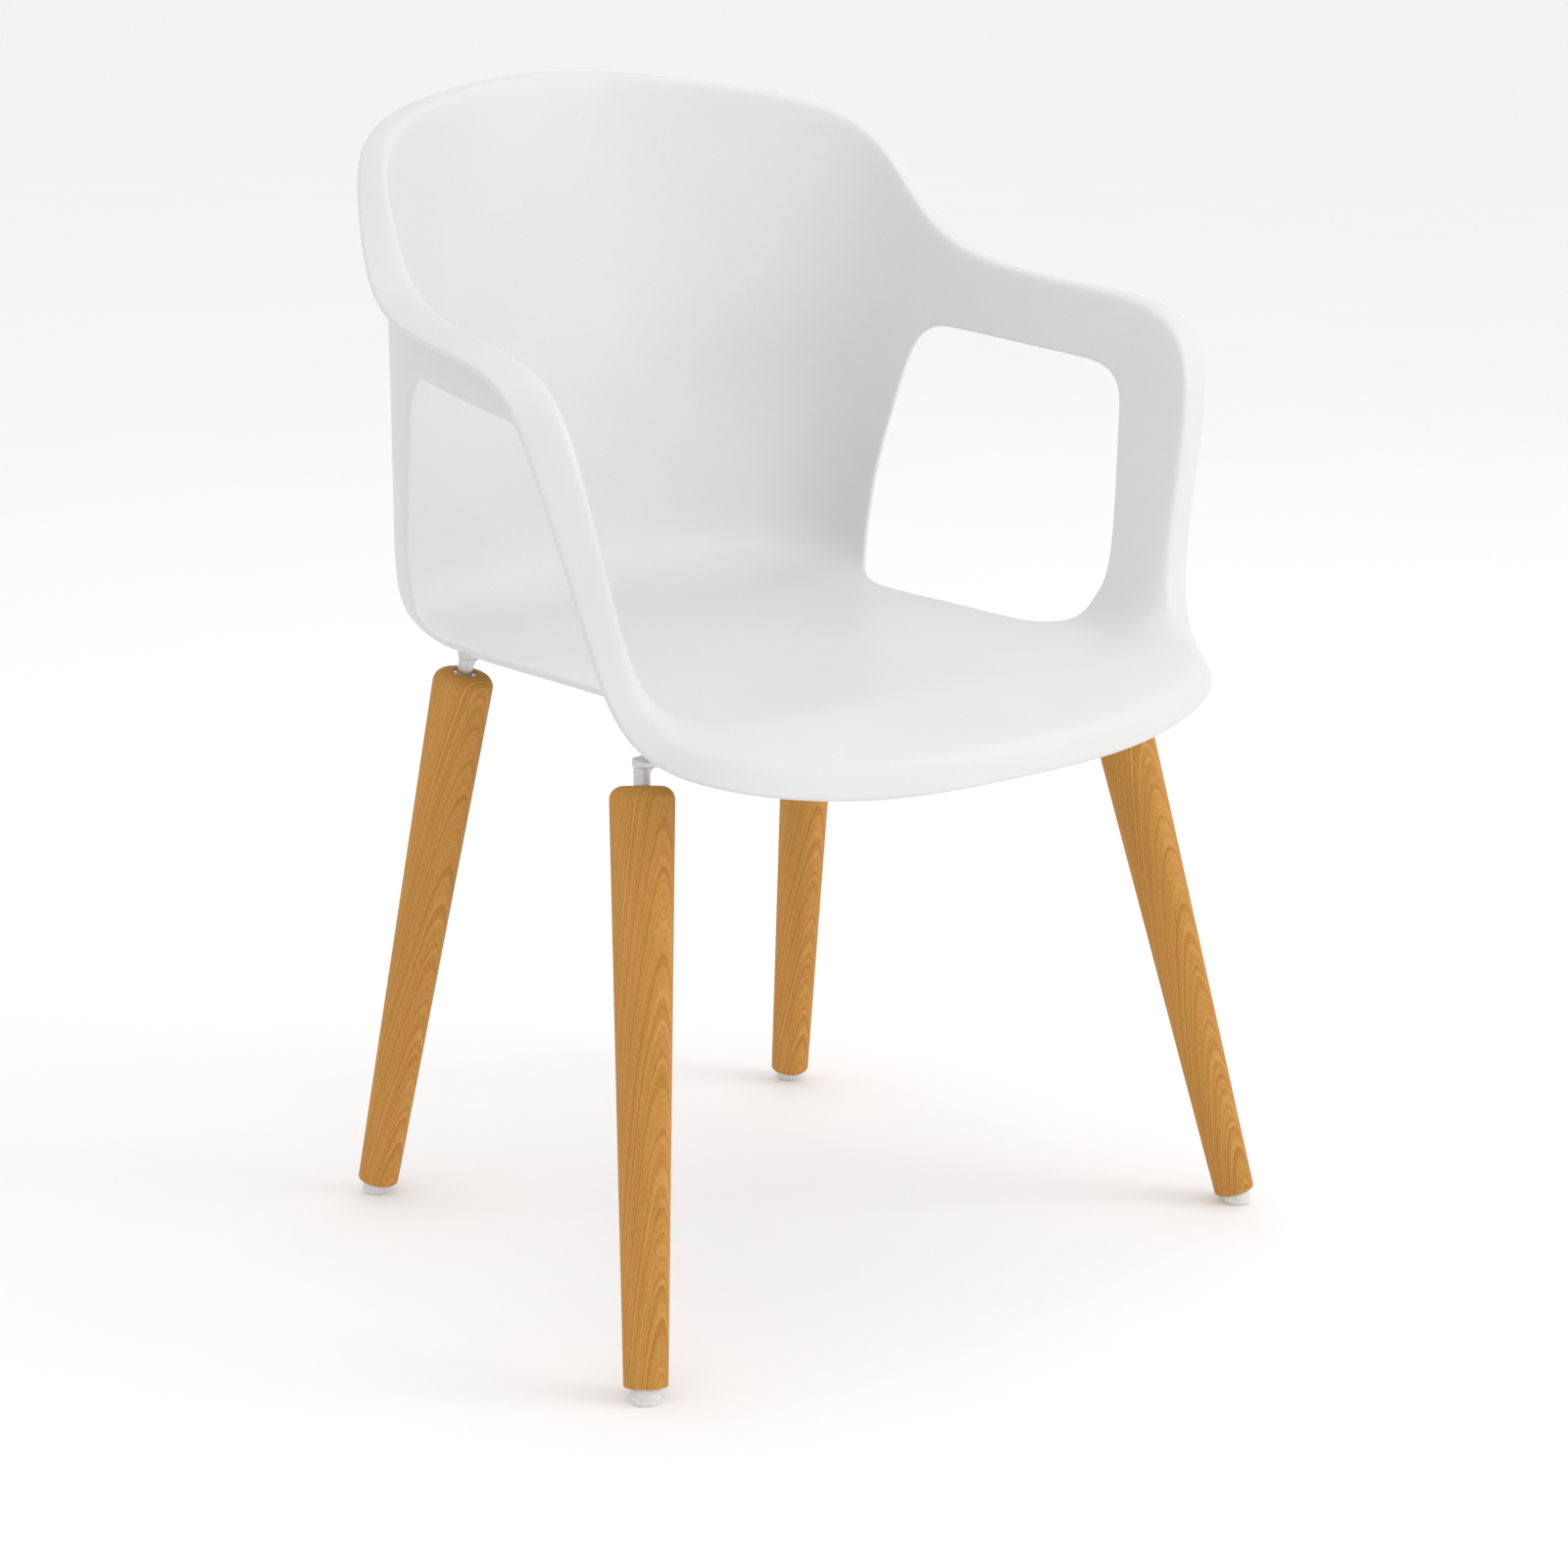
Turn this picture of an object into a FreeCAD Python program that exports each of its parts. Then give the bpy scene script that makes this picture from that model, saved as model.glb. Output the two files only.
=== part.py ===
import FreeCAD, Part
import math
import os

# A dining armchair. One thin moulded seat shell with open arms is screwed to two flat steel crossbars.
# A round post under each end of a crossbar runs down into a turned wooden leg, and each leg stands on a
# plastic glide.
#
# Millimetres. +Z is up, the sitter faces -Y, x = 0 is the plane of symmetry and z = 0 is the floor.
# Every piece is written to parts/ as its own STEP file.

V = FreeCAD.Vector
UP = V(0, 0, 1)
ACROSS = V(1, 0, 0)
BACK = V(0, 1, 0)

# ------------------------------------------------------------------ seat shell
WALL = 4.5                  # thickness of the moulding
SEAT_HEIGHT = 424.0         # seat surface at the foot of the side walls
SEAT_DISH = 3.0             # the middle of the seat lies this much lower
SEAT_FRONT_Y = -179.0       # where the seat starts to roll over at the front
SEAT_REAR_Y = 191.0         # foot of the backrest
SEAT_HALF_WIDTH = 208.0     # foot of the side walls
LIP_FRONT_Y = -245.0        # fold of the front edge
LIP_HALF_WIDTH = 234.0
LIP_DROP = 23.0             # the fold of the front edge below SEAT_HEIGHT
LIP_REACH = 25.0            # depth of the turned-down front edge
POST_Y = -142.0             # front posts that carry the armrests
ARM_RISE = 230.0            # fold of the armrests above SEAT_HEIGHT, at their front end
ARM_HALF_WIDTH = 280.0
ARM_FLANGE = 32.0           # reach of the armrests' turned-out flange
BACK_RISE = 379.0           # fold at the middle of the top edge, above SEAT_HEIGHT
BACK_TOP_Y = 240.0
BACK_FLANGE = 18.0          # reach of the turned-back top edge
WING_HALF_WIDTH = 219.0     # upper corners of the backrest
WING_Y = 157.0
WING_DROP = 28.0            # the same corners below the middle of the top edge
FOLD_LENGTH = 16.0          # wall length taken up by the bend into the flange
SIDE_TURN = 38.0            # length over which the seat turns up into the side walls
BACK_TURN = 80.0            # the same under the backrest

# ------------------------------------------------------------------ arm windows
SILL_HALF_WIDTH = 190.0     # lower edge of the windows, along the sides of the seat
WINDOW_HEAD = 50.0          # upper edge below the armrest fold, at the front
WINDOW_RISE = 15.0          # the upper edge climbs this much towards the back
WINDOW_TOP_FRONT_Y = -77.0
WINDOW_TOP_REAR_Y = 104.0
WINDOW_LOW_FRONT_Y = -103.0
WINDOW_LOW_REAR_Y = 132.0
WINDOW_TOP_ROUND = 31.0
SILL_FRONT_ROUND = 50.0
SILL_REAR_ROUND = 45.0

# ------------------------------------------------------------------ crossbars
BAR_THICKNESS = 5.0
BAR_WIDTH = 34.0            # front to back, where the screws go through
BAR_END_WIDTH = 11.4        # at the posts
BAR_TAPER = 60.0            # length over which the bar narrows
BAR_END_ROUND = 5.5
BAR_TAPER_ROUND = 30.0
FRONT_BAR_DROP = 28.0       # upper faces below SEAT_HEIGHT, where the seat's bosses rest
REAR_BAR_DROP = 12.0
POST_D = 11.0               # posts welded under the bar ends
POST_IN_LEG = 50.0
POST_TIP_ROUND = 1.0
WELD = 6.0                  # leg of the weld fillet between post and bar

# ------------------------------------------------------------------ seat fixings
BOSS_D = 20.0               # moulded bosses under the seat
BOSS_GRIP = 2.5             # how far a boss runs into the wall above it
RIB_THICKNESS = 2.4         # gusset ribs round each boss
RIB_REACH = 9.0
RIB_START = 1.5             # lower end of the ribs above the boss face
SIDE_SCREW_X = 92.0
SCREW_D = 6.0
SCREW_HOLE_D = 6.6
SCREW_TIP_ROUND = 0.8
SCREW_HEAD_D = 10.5
SCREW_HEAD_HEIGHT = 3.3
SCREW_HEAD_ROUND = 2.6
SCREW_KEY = 4.0             # across the flats of the key socket
SCREW_KEY_DEPTH = 2.0
WASHER_D = 12.5
WASHER_THICKNESS = 1.6
SPRING_WASHER_D = 11.0
SPRING_WASHER_THICKNESS = 1.5
SPRING_WASHER_SLIT = 1.2
INSERT_D = 8.6              # brass inserts in the bosses
INSERT_LENGTH = 6.0
INSERT_SINK = 0.5           # insert end above the boss face
SCREW_TIP_SPACE = 0.5       # free depth above the insert

# ------------------------------------------------------------------ legs
LEG_TOP_D = 43.0
LEG_FOOT_D = 29.0
LEG_SHOULDER = 9.0          # rounding of the upper end
LEG_FOOT_ROUND = 1.5
FRONT_LEG_GAP = 17.0        # top faces below the crossbars' upper faces
REAR_LEG_GAP = 15.0
FRONT_LEG_TOP = V(218.0, -126.0, SEAT_HEIGHT - FRONT_BAR_DROP - FRONT_LEG_GAP)
FRONT_LEG_FOOT = V(281.0, -213.0, 0.0)
REAR_LEG_TOP = V(164.0, 138.0, SEAT_HEIGHT - REAR_BAR_DROP - REAR_LEG_GAP)
REAR_LEG_FOOT = V(202.0, 198.0, 0.0)
SLEEVE_D = 17.0             # steel sleeve pressed into the leg, round the post
SLEEVE_LENGTH = 36.0
SLEEVE_SINK = 1.0           # sleeve end below the leg's top face
POST_CLEARANCE = 0.1        # on radius, post in sleeve and in wood
POST_BORE_SPARE = 4.0       # free depth below the post
LOCK_SCREW_D = 6.0
LOCK_SCREW_DEPTH = 20.0     # its axis below the leg's top face
LOCK_SCREW_SINK = 1.0       # its outer end below the wood
LOCK_SCREW_TIP = 0.8        # rounding of the end that presses on the post
LOCK_SCREW_KEY = 3.0
LOCK_SCREW_KEY_DEPTH = 3.0
LOCK_HOLE_CLEARANCE = 0.2   # on radius, in the wood

# ------------------------------------------------------------------ glides
GLIDE_D = 20.0
GLIDE_HEIGHT = 9.0          # leg end above the floor, along the leg's axis
GLIDE_ROUND = 1.5
GLIDE_STEM_D = 8.0
GLIDE_STEM_LENGTH = 12.0
GLIDE_CLEARANCE = 0.1       # on radius, stem in wood and screw in stem
GLIDE_SCREW_D = 3.5
GLIDE_SCREW_HEAD_D = 7.0
GLIDE_SCREW_HEAD_HEIGHT = 2.5
GLIDE_SCREW_RECESS = 2.2    # screw head above the floor, so that only plastic touches it
GLIDE_SCREW_SHANK = 26.0
GLIDE_SCREW_SLOT = 0.8
GLIDE_SCREW_SLOT_DEPTH = 1.0


# ------------------------------------------------------------------ helpers
def save(name, shape):
    """Write one node to its STEP file."""
    shape.exportStep(os.path.join("parts", name + ".step"))
    print(name, len(shape.Solids), "solid(s)", round(shape.Volume / 1000.0, 2), "cm3", shape.isValid())


def mix(low, high, share):
    """The value that lies this share of the way from low to high."""
    return low + (high - low) * share


def rounded_wire(corners, place):
    """Closed outline of straight lines with an arc at each corner.

    corners are (a, b, radius) and place(a, b) gives the point in space. A corner with radius 0 stays sharp.
    """
    count = len(corners)
    starts, mids, ends = [], [], []
    for i in range(count):
        here = V(corners[i][0], corners[i][1], 0)
        before = (V(corners[i - 1][0], corners[i - 1][1], 0) - here).normalize()
        after = (V(corners[(i + 1) % count][0], corners[(i + 1) % count][1], 0) - here).normalize()
        radius = corners[i][2]
        half_angle = before.getAngle(after) / 2
        tangent = radius / math.tan(half_angle)
        starts.append(here + before * tangent)
        ends.append(here + after * tangent)
        bisector = (before + after).normalize()
        mids.append(here + bisector * (radius / math.sin(half_angle) - radius))
    edges = []
    for i in range(count):
        if corners[i][2] > 0:
            arc = [place(p.x, p.y) for p in (starts[i], mids[i], ends[i])]
            edges.append(Part.Arc(*arc).toShape())
        leave = ends[i]
        arrive = starts[(i + 1) % count]
        if (arrive - leave).Length > 1e-6:
            edges.append(Part.makeLine(place(leave.x, leave.y), place(arrive.x, arrive.y)))
    return Part.Wire(edges)


def standing(shape, base, axis):
    """Turn and move a shape drawn about +Z at the origin, so that it stands at base along axis."""
    shape.Placement = FreeCAD.Placement(V(base), FreeCAD.Rotation(UP, V(axis)))
    return shape


def turned(corners, base, axis):
    """Solid of revolution of a (radius, height, rounding) outline about the axis that starts at base."""
    face = Part.Face(rounded_wire(corners, lambda radius, height: V(radius, 0, height)))
    return standing(face.revolve(V(0, 0, 0), UP, 360), base, axis)


def cylinder(diameter, length, base, axis):
    return Part.makeCylinder(diameter / 2, length, V(base), V(axis))


def tube(outer, inner, length, base, axis):
    return cylinder(outer, length, base, axis).cut(cylinder(inner, length, base, axis))


def key_socket(across_flats, depth, base, axis):
    """Six-sided pocket that runs from base along axis."""
    radius = across_flats / math.sqrt(3)
    turns = [math.radians(60 * i) for i in range(7)]
    outline = Part.makePolygon([V(radius * math.cos(a), radius * math.sin(a), 0) for a in turns])
    return standing(Part.Face(outline).extrude(UP * depth), base, axis)


def mirrored(shape):
    """The same piece on the other side of the chair."""
    return shape.mirror(V(0, 0, 0), ACROSS)


def both_sides(shapes):
    """A group of pieces and their mirror images, as separate solids of one node."""
    return Part.makeCompound(shapes + [mirrored(shape) for shape in shapes])


# ------------------------------------------------------------------ leg lines
class LegLine:
    """Centre line of a right-hand leg, from the floor up to the underside of its crossbar."""

    def __init__(self, foot, top, bar_top):
        self.floor = foot
        self.top = top
        self.up = (top - foot).normalize()
        self.wood_start = foot + self.up * GLIDE_HEIGHT
        self.length = (top - self.wood_start).Length
        self.bar_top = bar_top
        self.bar_low = bar_top - BAR_THICKNESS
        self.joint = self.at_height(self.bar_low)
        self.lock_base = top - self.up * LOCK_SCREW_DEPTH
        self.lock_way = (BACK - self.up * BACK.dot(self.up)).normalize()

    def at_height(self, height):
        return self.floor + self.up * ((height - self.floor.z) / self.up.z)

    def wood_radius(self, below_top):
        """Radius of the tapered wood at a distance below the leg's top face."""
        return (LEG_TOP_D - (LEG_TOP_D - LEG_FOOT_D) * below_top / self.length) / 2


FRONT = LegLine(FRONT_LEG_FOOT, FRONT_LEG_TOP, SEAT_HEIGHT - FRONT_BAR_DROP)
REAR = LegLine(REAR_LEG_FOOT, REAR_LEG_TOP, SEAT_HEIGHT - REAR_BAR_DROP)


# ------------------------------------------------------------------ crossbars
def crossbar(line):
    """Flat bar with narrowed rounded ends, three screw holes, and a post welded under each end."""
    y = line.joint.y
    end = line.joint.x + BAR_END_WIDTH / 2
    wide = BAR_WIDTH / 2
    narrow = BAR_END_WIDTH / 2
    shoulder = end - BAR_TAPER
    half = [(shoulder, -wide, BAR_TAPER_ROUND), (end, -narrow, BAR_END_ROUND),
            (end, narrow, BAR_END_ROUND), (shoulder, wide, BAR_TAPER_ROUND)]
    corners = half + [(-a, -b, radius) for a, b, radius in half]
    outline = rounded_wire(corners, lambda a, b: V(a, y + b, line.bar_low))
    bar = Part.Face(outline).extrude(UP * BAR_THICKNESS)
    for x, screw_y in screw_places(line):
        bar = bar.cut(Part.makeCylinder(SCREW_HOLE_D / 2, BAR_THICKNESS, V(x, screw_y, line.bar_low)))
    post = welded_post(line)
    return bar.fuse([post, mirrored(post)]).removeSplitter()


def welded_post(line):
    """Round post along the leg's axis, flared on its inner side by the weld where it meets the bar."""
    end = line.top - line.up * POST_IN_LEG
    length = (line.at_height(line.bar_low + BAR_THICKNESS / 2) - end).Length
    radius = POST_D / 2
    post = turned([(0, 0, 0), (radius, 0, POST_TIP_ROUND), (radius, length, 0), (0, length, 0)], end, line.up)
    flare_start = (line.joint - end).Length - WELD
    flare = turned([(0, flare_start, 0), (radius, flare_start, WELD * 1.5),
                    (radius + WELD, flare_start + WELD, 0),
                    (radius + WELD, length, 0), (0, length, 0)], end, line.up)
    keep = Part.makeBox(2 * POST_D, BAR_END_WIDTH, 4 * POST_D,
                        V(line.joint.x - 2 * POST_D, line.joint.y - BAR_END_WIDTH / 2,
                          line.bar_low + BAR_THICKNESS / 2 - 4 * POST_D))
    return post.fuse(flare.common(keep))


def screw_places(line):
    """Screw axes of one crossbar, right-hand one first."""
    return [(x, line.joint.y) for x in (SIDE_SCREW_X, 0.0, -SIDE_SCREW_X)]


# ------------------------------------------------------------------ seat fixings
def screw_stack(line, x, y):
    """Frame screw, flat washer, spring washer and brass insert at one place, all on a vertical axis."""
    low = line.bar_low
    washer = tube(WASHER_D, SCREW_HOLE_D, WASHER_THICKNESS, V(x, y, low), UP * -1)
    low -= WASHER_THICKNESS
    spring = tube(SPRING_WASHER_D, SCREW_HOLE_D, SPRING_WASHER_THICKNESS, V(x, y, low), UP * -1)
    slit = Part.makeBox(SPRING_WASHER_D, SPRING_WASHER_SLIT, SPRING_WASHER_THICKNESS,
                        V(x, y - SPRING_WASHER_SLIT / 2, low - SPRING_WASHER_THICKNESS))
    spring = spring.cut(slit)
    low -= SPRING_WASHER_THICKNESS
    tip = line.bar_top + INSERT_SINK + INSERT_LENGTH - low
    head = SCREW_HEAD_D / 2
    shank = SCREW_D / 2
    screw = turned([(0, -SCREW_HEAD_HEIGHT, 0), (head, -SCREW_HEAD_HEIGHT, SCREW_HEAD_ROUND),
                    (head, 0, 0), (shank, 0, 0), (shank, tip, SCREW_TIP_ROUND),
                    (0, tip, 0)], V(x, y, low), UP)
    screw = screw.cut(key_socket(SCREW_KEY, SCREW_KEY_DEPTH, V(x, y, low - SCREW_HEAD_HEIGHT), UP))
    insert = tube(INSERT_D, SCREW_D, INSERT_LENGTH, V(x, y, line.bar_top + INSERT_SINK), UP)
    return screw, washer, spring, insert


# ------------------------------------------------------------------ legs and their fittings
def leg_wood(line):
    """Tapered turned leg with a rounded shoulder, bored for sleeve, post, glide and locking screw."""
    top = LEG_TOP_D / 2
    foot = LEG_FOOT_D / 2
    wood = turned([(0, 0, 0), (foot, 0, LEG_FOOT_ROUND), (top, line.length, LEG_SHOULDER),
                   (0, line.length, 0)], line.wood_start, line.up)
    down = line.up * -1
    hole = LOCK_SCREW_D + 2 * LOCK_HOLE_CLEARANCE
    screw_depth = GLIDE_SCREW_RECESS + GLIDE_SCREW_HEAD_HEIGHT + GLIDE_SCREW_SHANK - GLIDE_HEIGHT
    bores = [cylinder(SLEEVE_D, SLEEVE_SINK + SLEEVE_LENGTH, line.top, down),
             cylinder(POST_D + 2 * POST_CLEARANCE, POST_IN_LEG + POST_BORE_SPARE, line.top, down),
             cylinder(GLIDE_STEM_D + 2 * GLIDE_CLEARANCE, GLIDE_STEM_LENGTH, line.wood_start, line.up),
             cylinder(GLIDE_SCREW_D, screw_depth, line.wood_start, line.up),
             cylinder(hole, LEG_TOP_D, line.lock_base, line.lock_way)]
    return wood.cut(bores)


def sleeve(line):
    """Steel sleeve round the post, tapped for the locking screw."""
    down = line.up * -1
    body = tube(SLEEVE_D, POST_D + 2 * POST_CLEARANCE, SLEEVE_LENGTH, line.top + down * SLEEVE_SINK, down)
    return body.cut(cylinder(LOCK_SCREW_D, SLEEVE_D, line.lock_base, line.lock_way))


def lock_screw(line):
    """Socket set screw that clamps the post; its outer end lies just below the wood."""
    start = POST_D / 2
    length = line.wood_radius(LOCK_SCREW_DEPTH) - LOCK_SCREW_SINK - start
    base = line.lock_base + line.lock_way * start
    radius = LOCK_SCREW_D / 2
    screw = turned([(0, 0, 0), (radius, 0, LOCK_SCREW_TIP), (radius, length, 0), (0, length, 0)],
                   base, line.lock_way)
    socket_base = base + line.lock_way * (length - LOCK_SCREW_KEY_DEPTH)
    return screw.cut(key_socket(LOCK_SCREW_KEY, LOCK_SCREW_KEY_DEPTH, socket_base, line.lock_way))


def glide(line):
    """Plastic foot in line with the leg, cut flat by the floor, with a stem in the wood and a screw hole."""
    body = cylinder(GLIDE_D, 2 * GLIDE_HEIGHT, line.floor - line.up * GLIDE_HEIGHT, line.up)
    floor = Part.makeBox(4 * GLIDE_D, 4 * GLIDE_D, 4 * GLIDE_D,
                         line.floor - V(2 * GLIDE_D, 2 * GLIDE_D, 4 * GLIDE_D))
    body = body.cut(floor)
    rim = [edge for edge in body.Edges if edge.BoundBox.ZMax < 0.001]
    body = body.makeFillet(GLIDE_ROUND, rim)
    stem_start = line.floor + line.up * (GLIDE_HEIGHT / 2)
    stem = cylinder(GLIDE_STEM_D, GLIDE_HEIGHT / 2 + GLIDE_STEM_LENGTH, stem_start, line.up)
    body = body.fuse(stem)
    head_room = GLIDE_SCREW_HEAD_D + 2 * GLIDE_CLEARANCE
    recess = GLIDE_SCREW_RECESS + GLIDE_SCREW_HEAD_HEIGHT
    body = body.cut(cylinder(head_room, GLIDE_D, line.floor + line.up * (recess - GLIDE_D), line.up))
    return body.cut(cylinder(GLIDE_SCREW_D + 2 * GLIDE_CLEARANCE, 3 * GLIDE_D, line.floor, line.up))


def glide_screw(line):
    """Slotted pan-head wood screw with a pointed end."""
    head = GLIDE_SCREW_HEAD_D / 2
    shank = GLIDE_SCREW_D / 2
    under = GLIDE_SCREW_HEAD_HEIGHT
    tip = under + GLIDE_SCREW_SHANK
    base = line.floor + line.up * GLIDE_SCREW_RECESS
    screw = turned([(0, 0, 0), (head, 0, 1), (head, under, 0), (shank, under, 0),
                    (shank, tip - 2 * GLIDE_SCREW_D, 0), (0, tip, 0)], base, line.up)
    slot = Part.makeBox(GLIDE_SCREW_HEAD_D, GLIDE_SCREW_SLOT, GLIDE_SCREW_SLOT_DEPTH,
                        V(-GLIDE_SCREW_HEAD_D / 2, -GLIDE_SCREW_SLOT / 2, 0))
    return screw.cut(standing(slot, base, line.up))


# ------------------------------------------------------------------ seat shell
RINGS = 9                   # control points from the middle of the seat to the edge of the flange
SECTOR = 6                  # stations spanned by each face of the shell
SEAT_MIDDLE = V(0, (SEAT_FRONT_Y + SEAT_REAR_Y) / 2, SEAT_HEIGHT - SEAT_DISH)


def shell_stations():
    """Right half of the shell's control net, from the middle of the front round to the middle of the back.

    Each station holds the foot of the wall, the fold into the flange, the flange's reach past the fold, and
    the length over which the seat turns up into the wall.
    """
    seat = SEAT_HEIGHT
    side = SEAT_HALF_WIDTH
    front = SEAT_FRONT_Y
    rear = SEAT_REAR_Y
    lip = SEAT_HEIGHT - LIP_DROP
    arm = SEAT_HEIGHT + ARM_RISE
    top = SEAT_HEIGHT + BACK_RISE
    turned_down = V(0, -LIP_REACH * 0.3, -LIP_REACH)
    return [
        # front edge, turned down
        (V(0, front, seat + 2), V(0, LIP_FRONT_Y, lip), turned_down, SIDE_TURN + 7),
        (V(mix(0, side, 0.46), front, seat + 2), V(mix(0, LIP_HALF_WIDTH, 0.55), LIP_FRONT_Y + 5, lip),
         turned_down + V(2, 0, 0), SIDE_TURN + 7),
        # front corner
        (V(side - 33, front + 3, seat + 1), V(LIP_HALF_WIDTH, LIP_FRONT_Y + 35, lip + 15), V(9, -7, -18),
         SIDE_TURN + 2),
        (V(side - 1, front + 20, seat + 2), V(LIP_HALF_WIDTH + 8, POST_Y - 12, seat + 2), V(17, 1, -11),
         SIDE_TURN),
        # front post, rising to the armrest
        (V(side + 6, mix(front, rear, 0.176), seat + 1), V(ARM_HALF_WIDTH - 28, POST_Y, mix(seat, arm, 0.31)),
         V(ARM_FLANGE - 9, 5, -3), SIDE_TURN),
        (V(side + 4, mix(front, rear, 0.311), seat), V(ARM_HALF_WIDTH - 4, POST_Y + 5, mix(seat, arm, 0.75)),
         V(ARM_FLANGE - 1, 11, -2), SIDE_TURN),
        # armrest
        (V(side - 5, mix(front, rear, 0.446), seat - 2), V(ARM_HALF_WIDTH, POST_Y + 30, arm),
         V(ARM_FLANGE, 12, -5), SIDE_TURN + 2),
        (V(side - 5, mix(front, rear, 0.619), seat - 3),
         V(ARM_HALF_WIDTH - 18, mix(POST_Y, WING_Y, 0.445), arm + 6), V(ARM_FLANGE, 6, -7), SIDE_TURN + 4),
        (V(side, rear - 76, seat - 3), V(ARM_HALF_WIDTH - 37, mix(POST_Y, WING_Y, 0.756), arm + 20),
         V(ARM_FLANGE - 2, 9, -11), SIDE_TURN + 12),
        # wing, rising to the upper corner of the backrest
        (V(side - 1, rear - 22, seat + 9), V(WING_HALF_WIDTH + 13, WING_Y - 34, mix(arm, top, 0.45)),
         V(BACK_FLANGE + 3, 11, -4), mix(SIDE_TURN, BACK_TURN, 0.65)),
        (V(side - 48, rear - 2, seat + 5), V(WING_HALF_WIDTH, WING_Y, top - WING_DROP),
         V(BACK_FLANGE - 5, 14, 0), BACK_TURN - 5),
        # backrest
        (V(mix(0, side, 0.4), rear, seat + 3),
         V(mix(0, WING_HALF_WIDTH, 0.52), mix(WING_Y, BACK_TOP_Y, 0.74), top - 11),
         V(3, BACK_FLANGE - 2, 0), BACK_TURN),
        (V(0, rear, seat + 3), V(0, BACK_TOP_Y, top), V(0, BACK_FLANGE, 1), BACK_TURN),
    ]


def station_points(foot, fold, reach, turn):
    """Control points of one station: out along the seat, up the wall, over the fold and out to the edge."""
    outward = V(foot.x - SEAT_MIDDLE.x, foot.y - SEAT_MIDDLE.y, 0)
    before_turn = foot - V(outward).normalize() * turn
    before_turn.z = mix(SEAT_MIDDLE.z, foot.z, 0.55)
    wall = fold - foot
    rise = V(wall).normalize()
    return [SEAT_MIDDLE, SEAT_MIDDLE + outward * 0.42, before_turn, foot,
            foot + rise * min(turn, 0.45 * wall.Length),
            fold - rise * min(FOLD_LENGTH, 0.3 * wall.Length),
            fold, fold + reach * 0.45, fold + reach]


def control_net():
    """Control points of the face the sitter touches, station by station, all the way round."""
    right = [station_points(*station) for station in shell_stations()]
    left = [[V(-point.x, point.y, point.z) for point in row] for row in reversed(right[1:-1])]
    return right + left


def smooth_surface(net):
    """Cubic spline surface of a control net, closed round the chair.

    u counts the stations and v runs from 0 in the middle of the seat to 1 at the edge of the flange.
    """
    around = len(net)
    spans = RINGS - 3
    poles = [net[i - 1] for i in range(around)]
    surface = Part.BSplineSurface()
    surface.buildFromPolesMultsKnots(poles, [1] * (around + 1), [4] + [1] * (spans - 1) + [4],
                                     [float(i) for i in range(around + 1)],
                                     [i / spans for i in range(spans + 1)], True, False, 3, 3)
    return surface


def ring_positions():
    """The v at which each ring of control points pulls hardest: the mean of its three inner knots."""
    spans = RINGS - 3
    knots = [0] * 4 + [i / spans for i in range(1, spans)] + [1] * 4
    return [sum(knots[ring + 1:ring + 4]) / 3 for ring in range(RINGS)]


def outer_net(net):
    """Control net of the hidden face, which lies WALL away from the sitter's face at every control point.

    The offsets form a spline of their own. Their control values are corrected in turn until that spline
    passes through the wanted offsets.
    """
    face = smooth_surface(net)
    places = [min(max(v, 0.001), 0.999999) for v in ring_positions()]
    wanted = [[V(0, 0, -WALL)] + [face.normal(i, v) * WALL for v in places[1:]] for i in range(len(net))]
    offsets = [list(row) for row in wanted]
    for turn in range(12):
        spline = smooth_surface(offsets)
        offsets = [[offset + want - spline.value(i, v) for offset, want, v in zip(row, wants, places)]
                   for i, (row, wants) in enumerate(zip(offsets, wanted))]
    return [[SEAT_MIDDLE - UP * WALL] + [point + offset for point, offset in zip(points[1:], row[1:])]
            for points, row in zip(net, offsets)]


def patch(surface, start, low, high):
    """The part of a surface that spans SECTOR stations from start, between two values of v."""
    piece = surface.copy()
    piece.segment(start, start + SECTOR, low, high)
    return piece


def shell_body(face):
    """The moulding between the sitter's face and the hidden face, closed by the rim, without openings."""
    net = outer_net(control_net())
    hidden = smooth_surface(net)
    faces = []
    for start in range(0, len(net), SECTOR):
        for surface in (face, hidden):
            faces += [patch(surface, start, low, high).toShape() for low, high in ((0, 1 / 3), (1 / 3, 1))]
        edges = [patch(surface, start, 0, 1).vIso(1.0).toShape() for surface in (face, hidden)]
        faces.append(Part.makeRuledSurface(*edges))
    skin = Part.makeShell(faces)
    skin.sewShape()
    body = Part.makeSolid(Part.Shell(skin.Faces))
    if body.Volume < 0:
        body.reverse()
    return body


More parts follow.
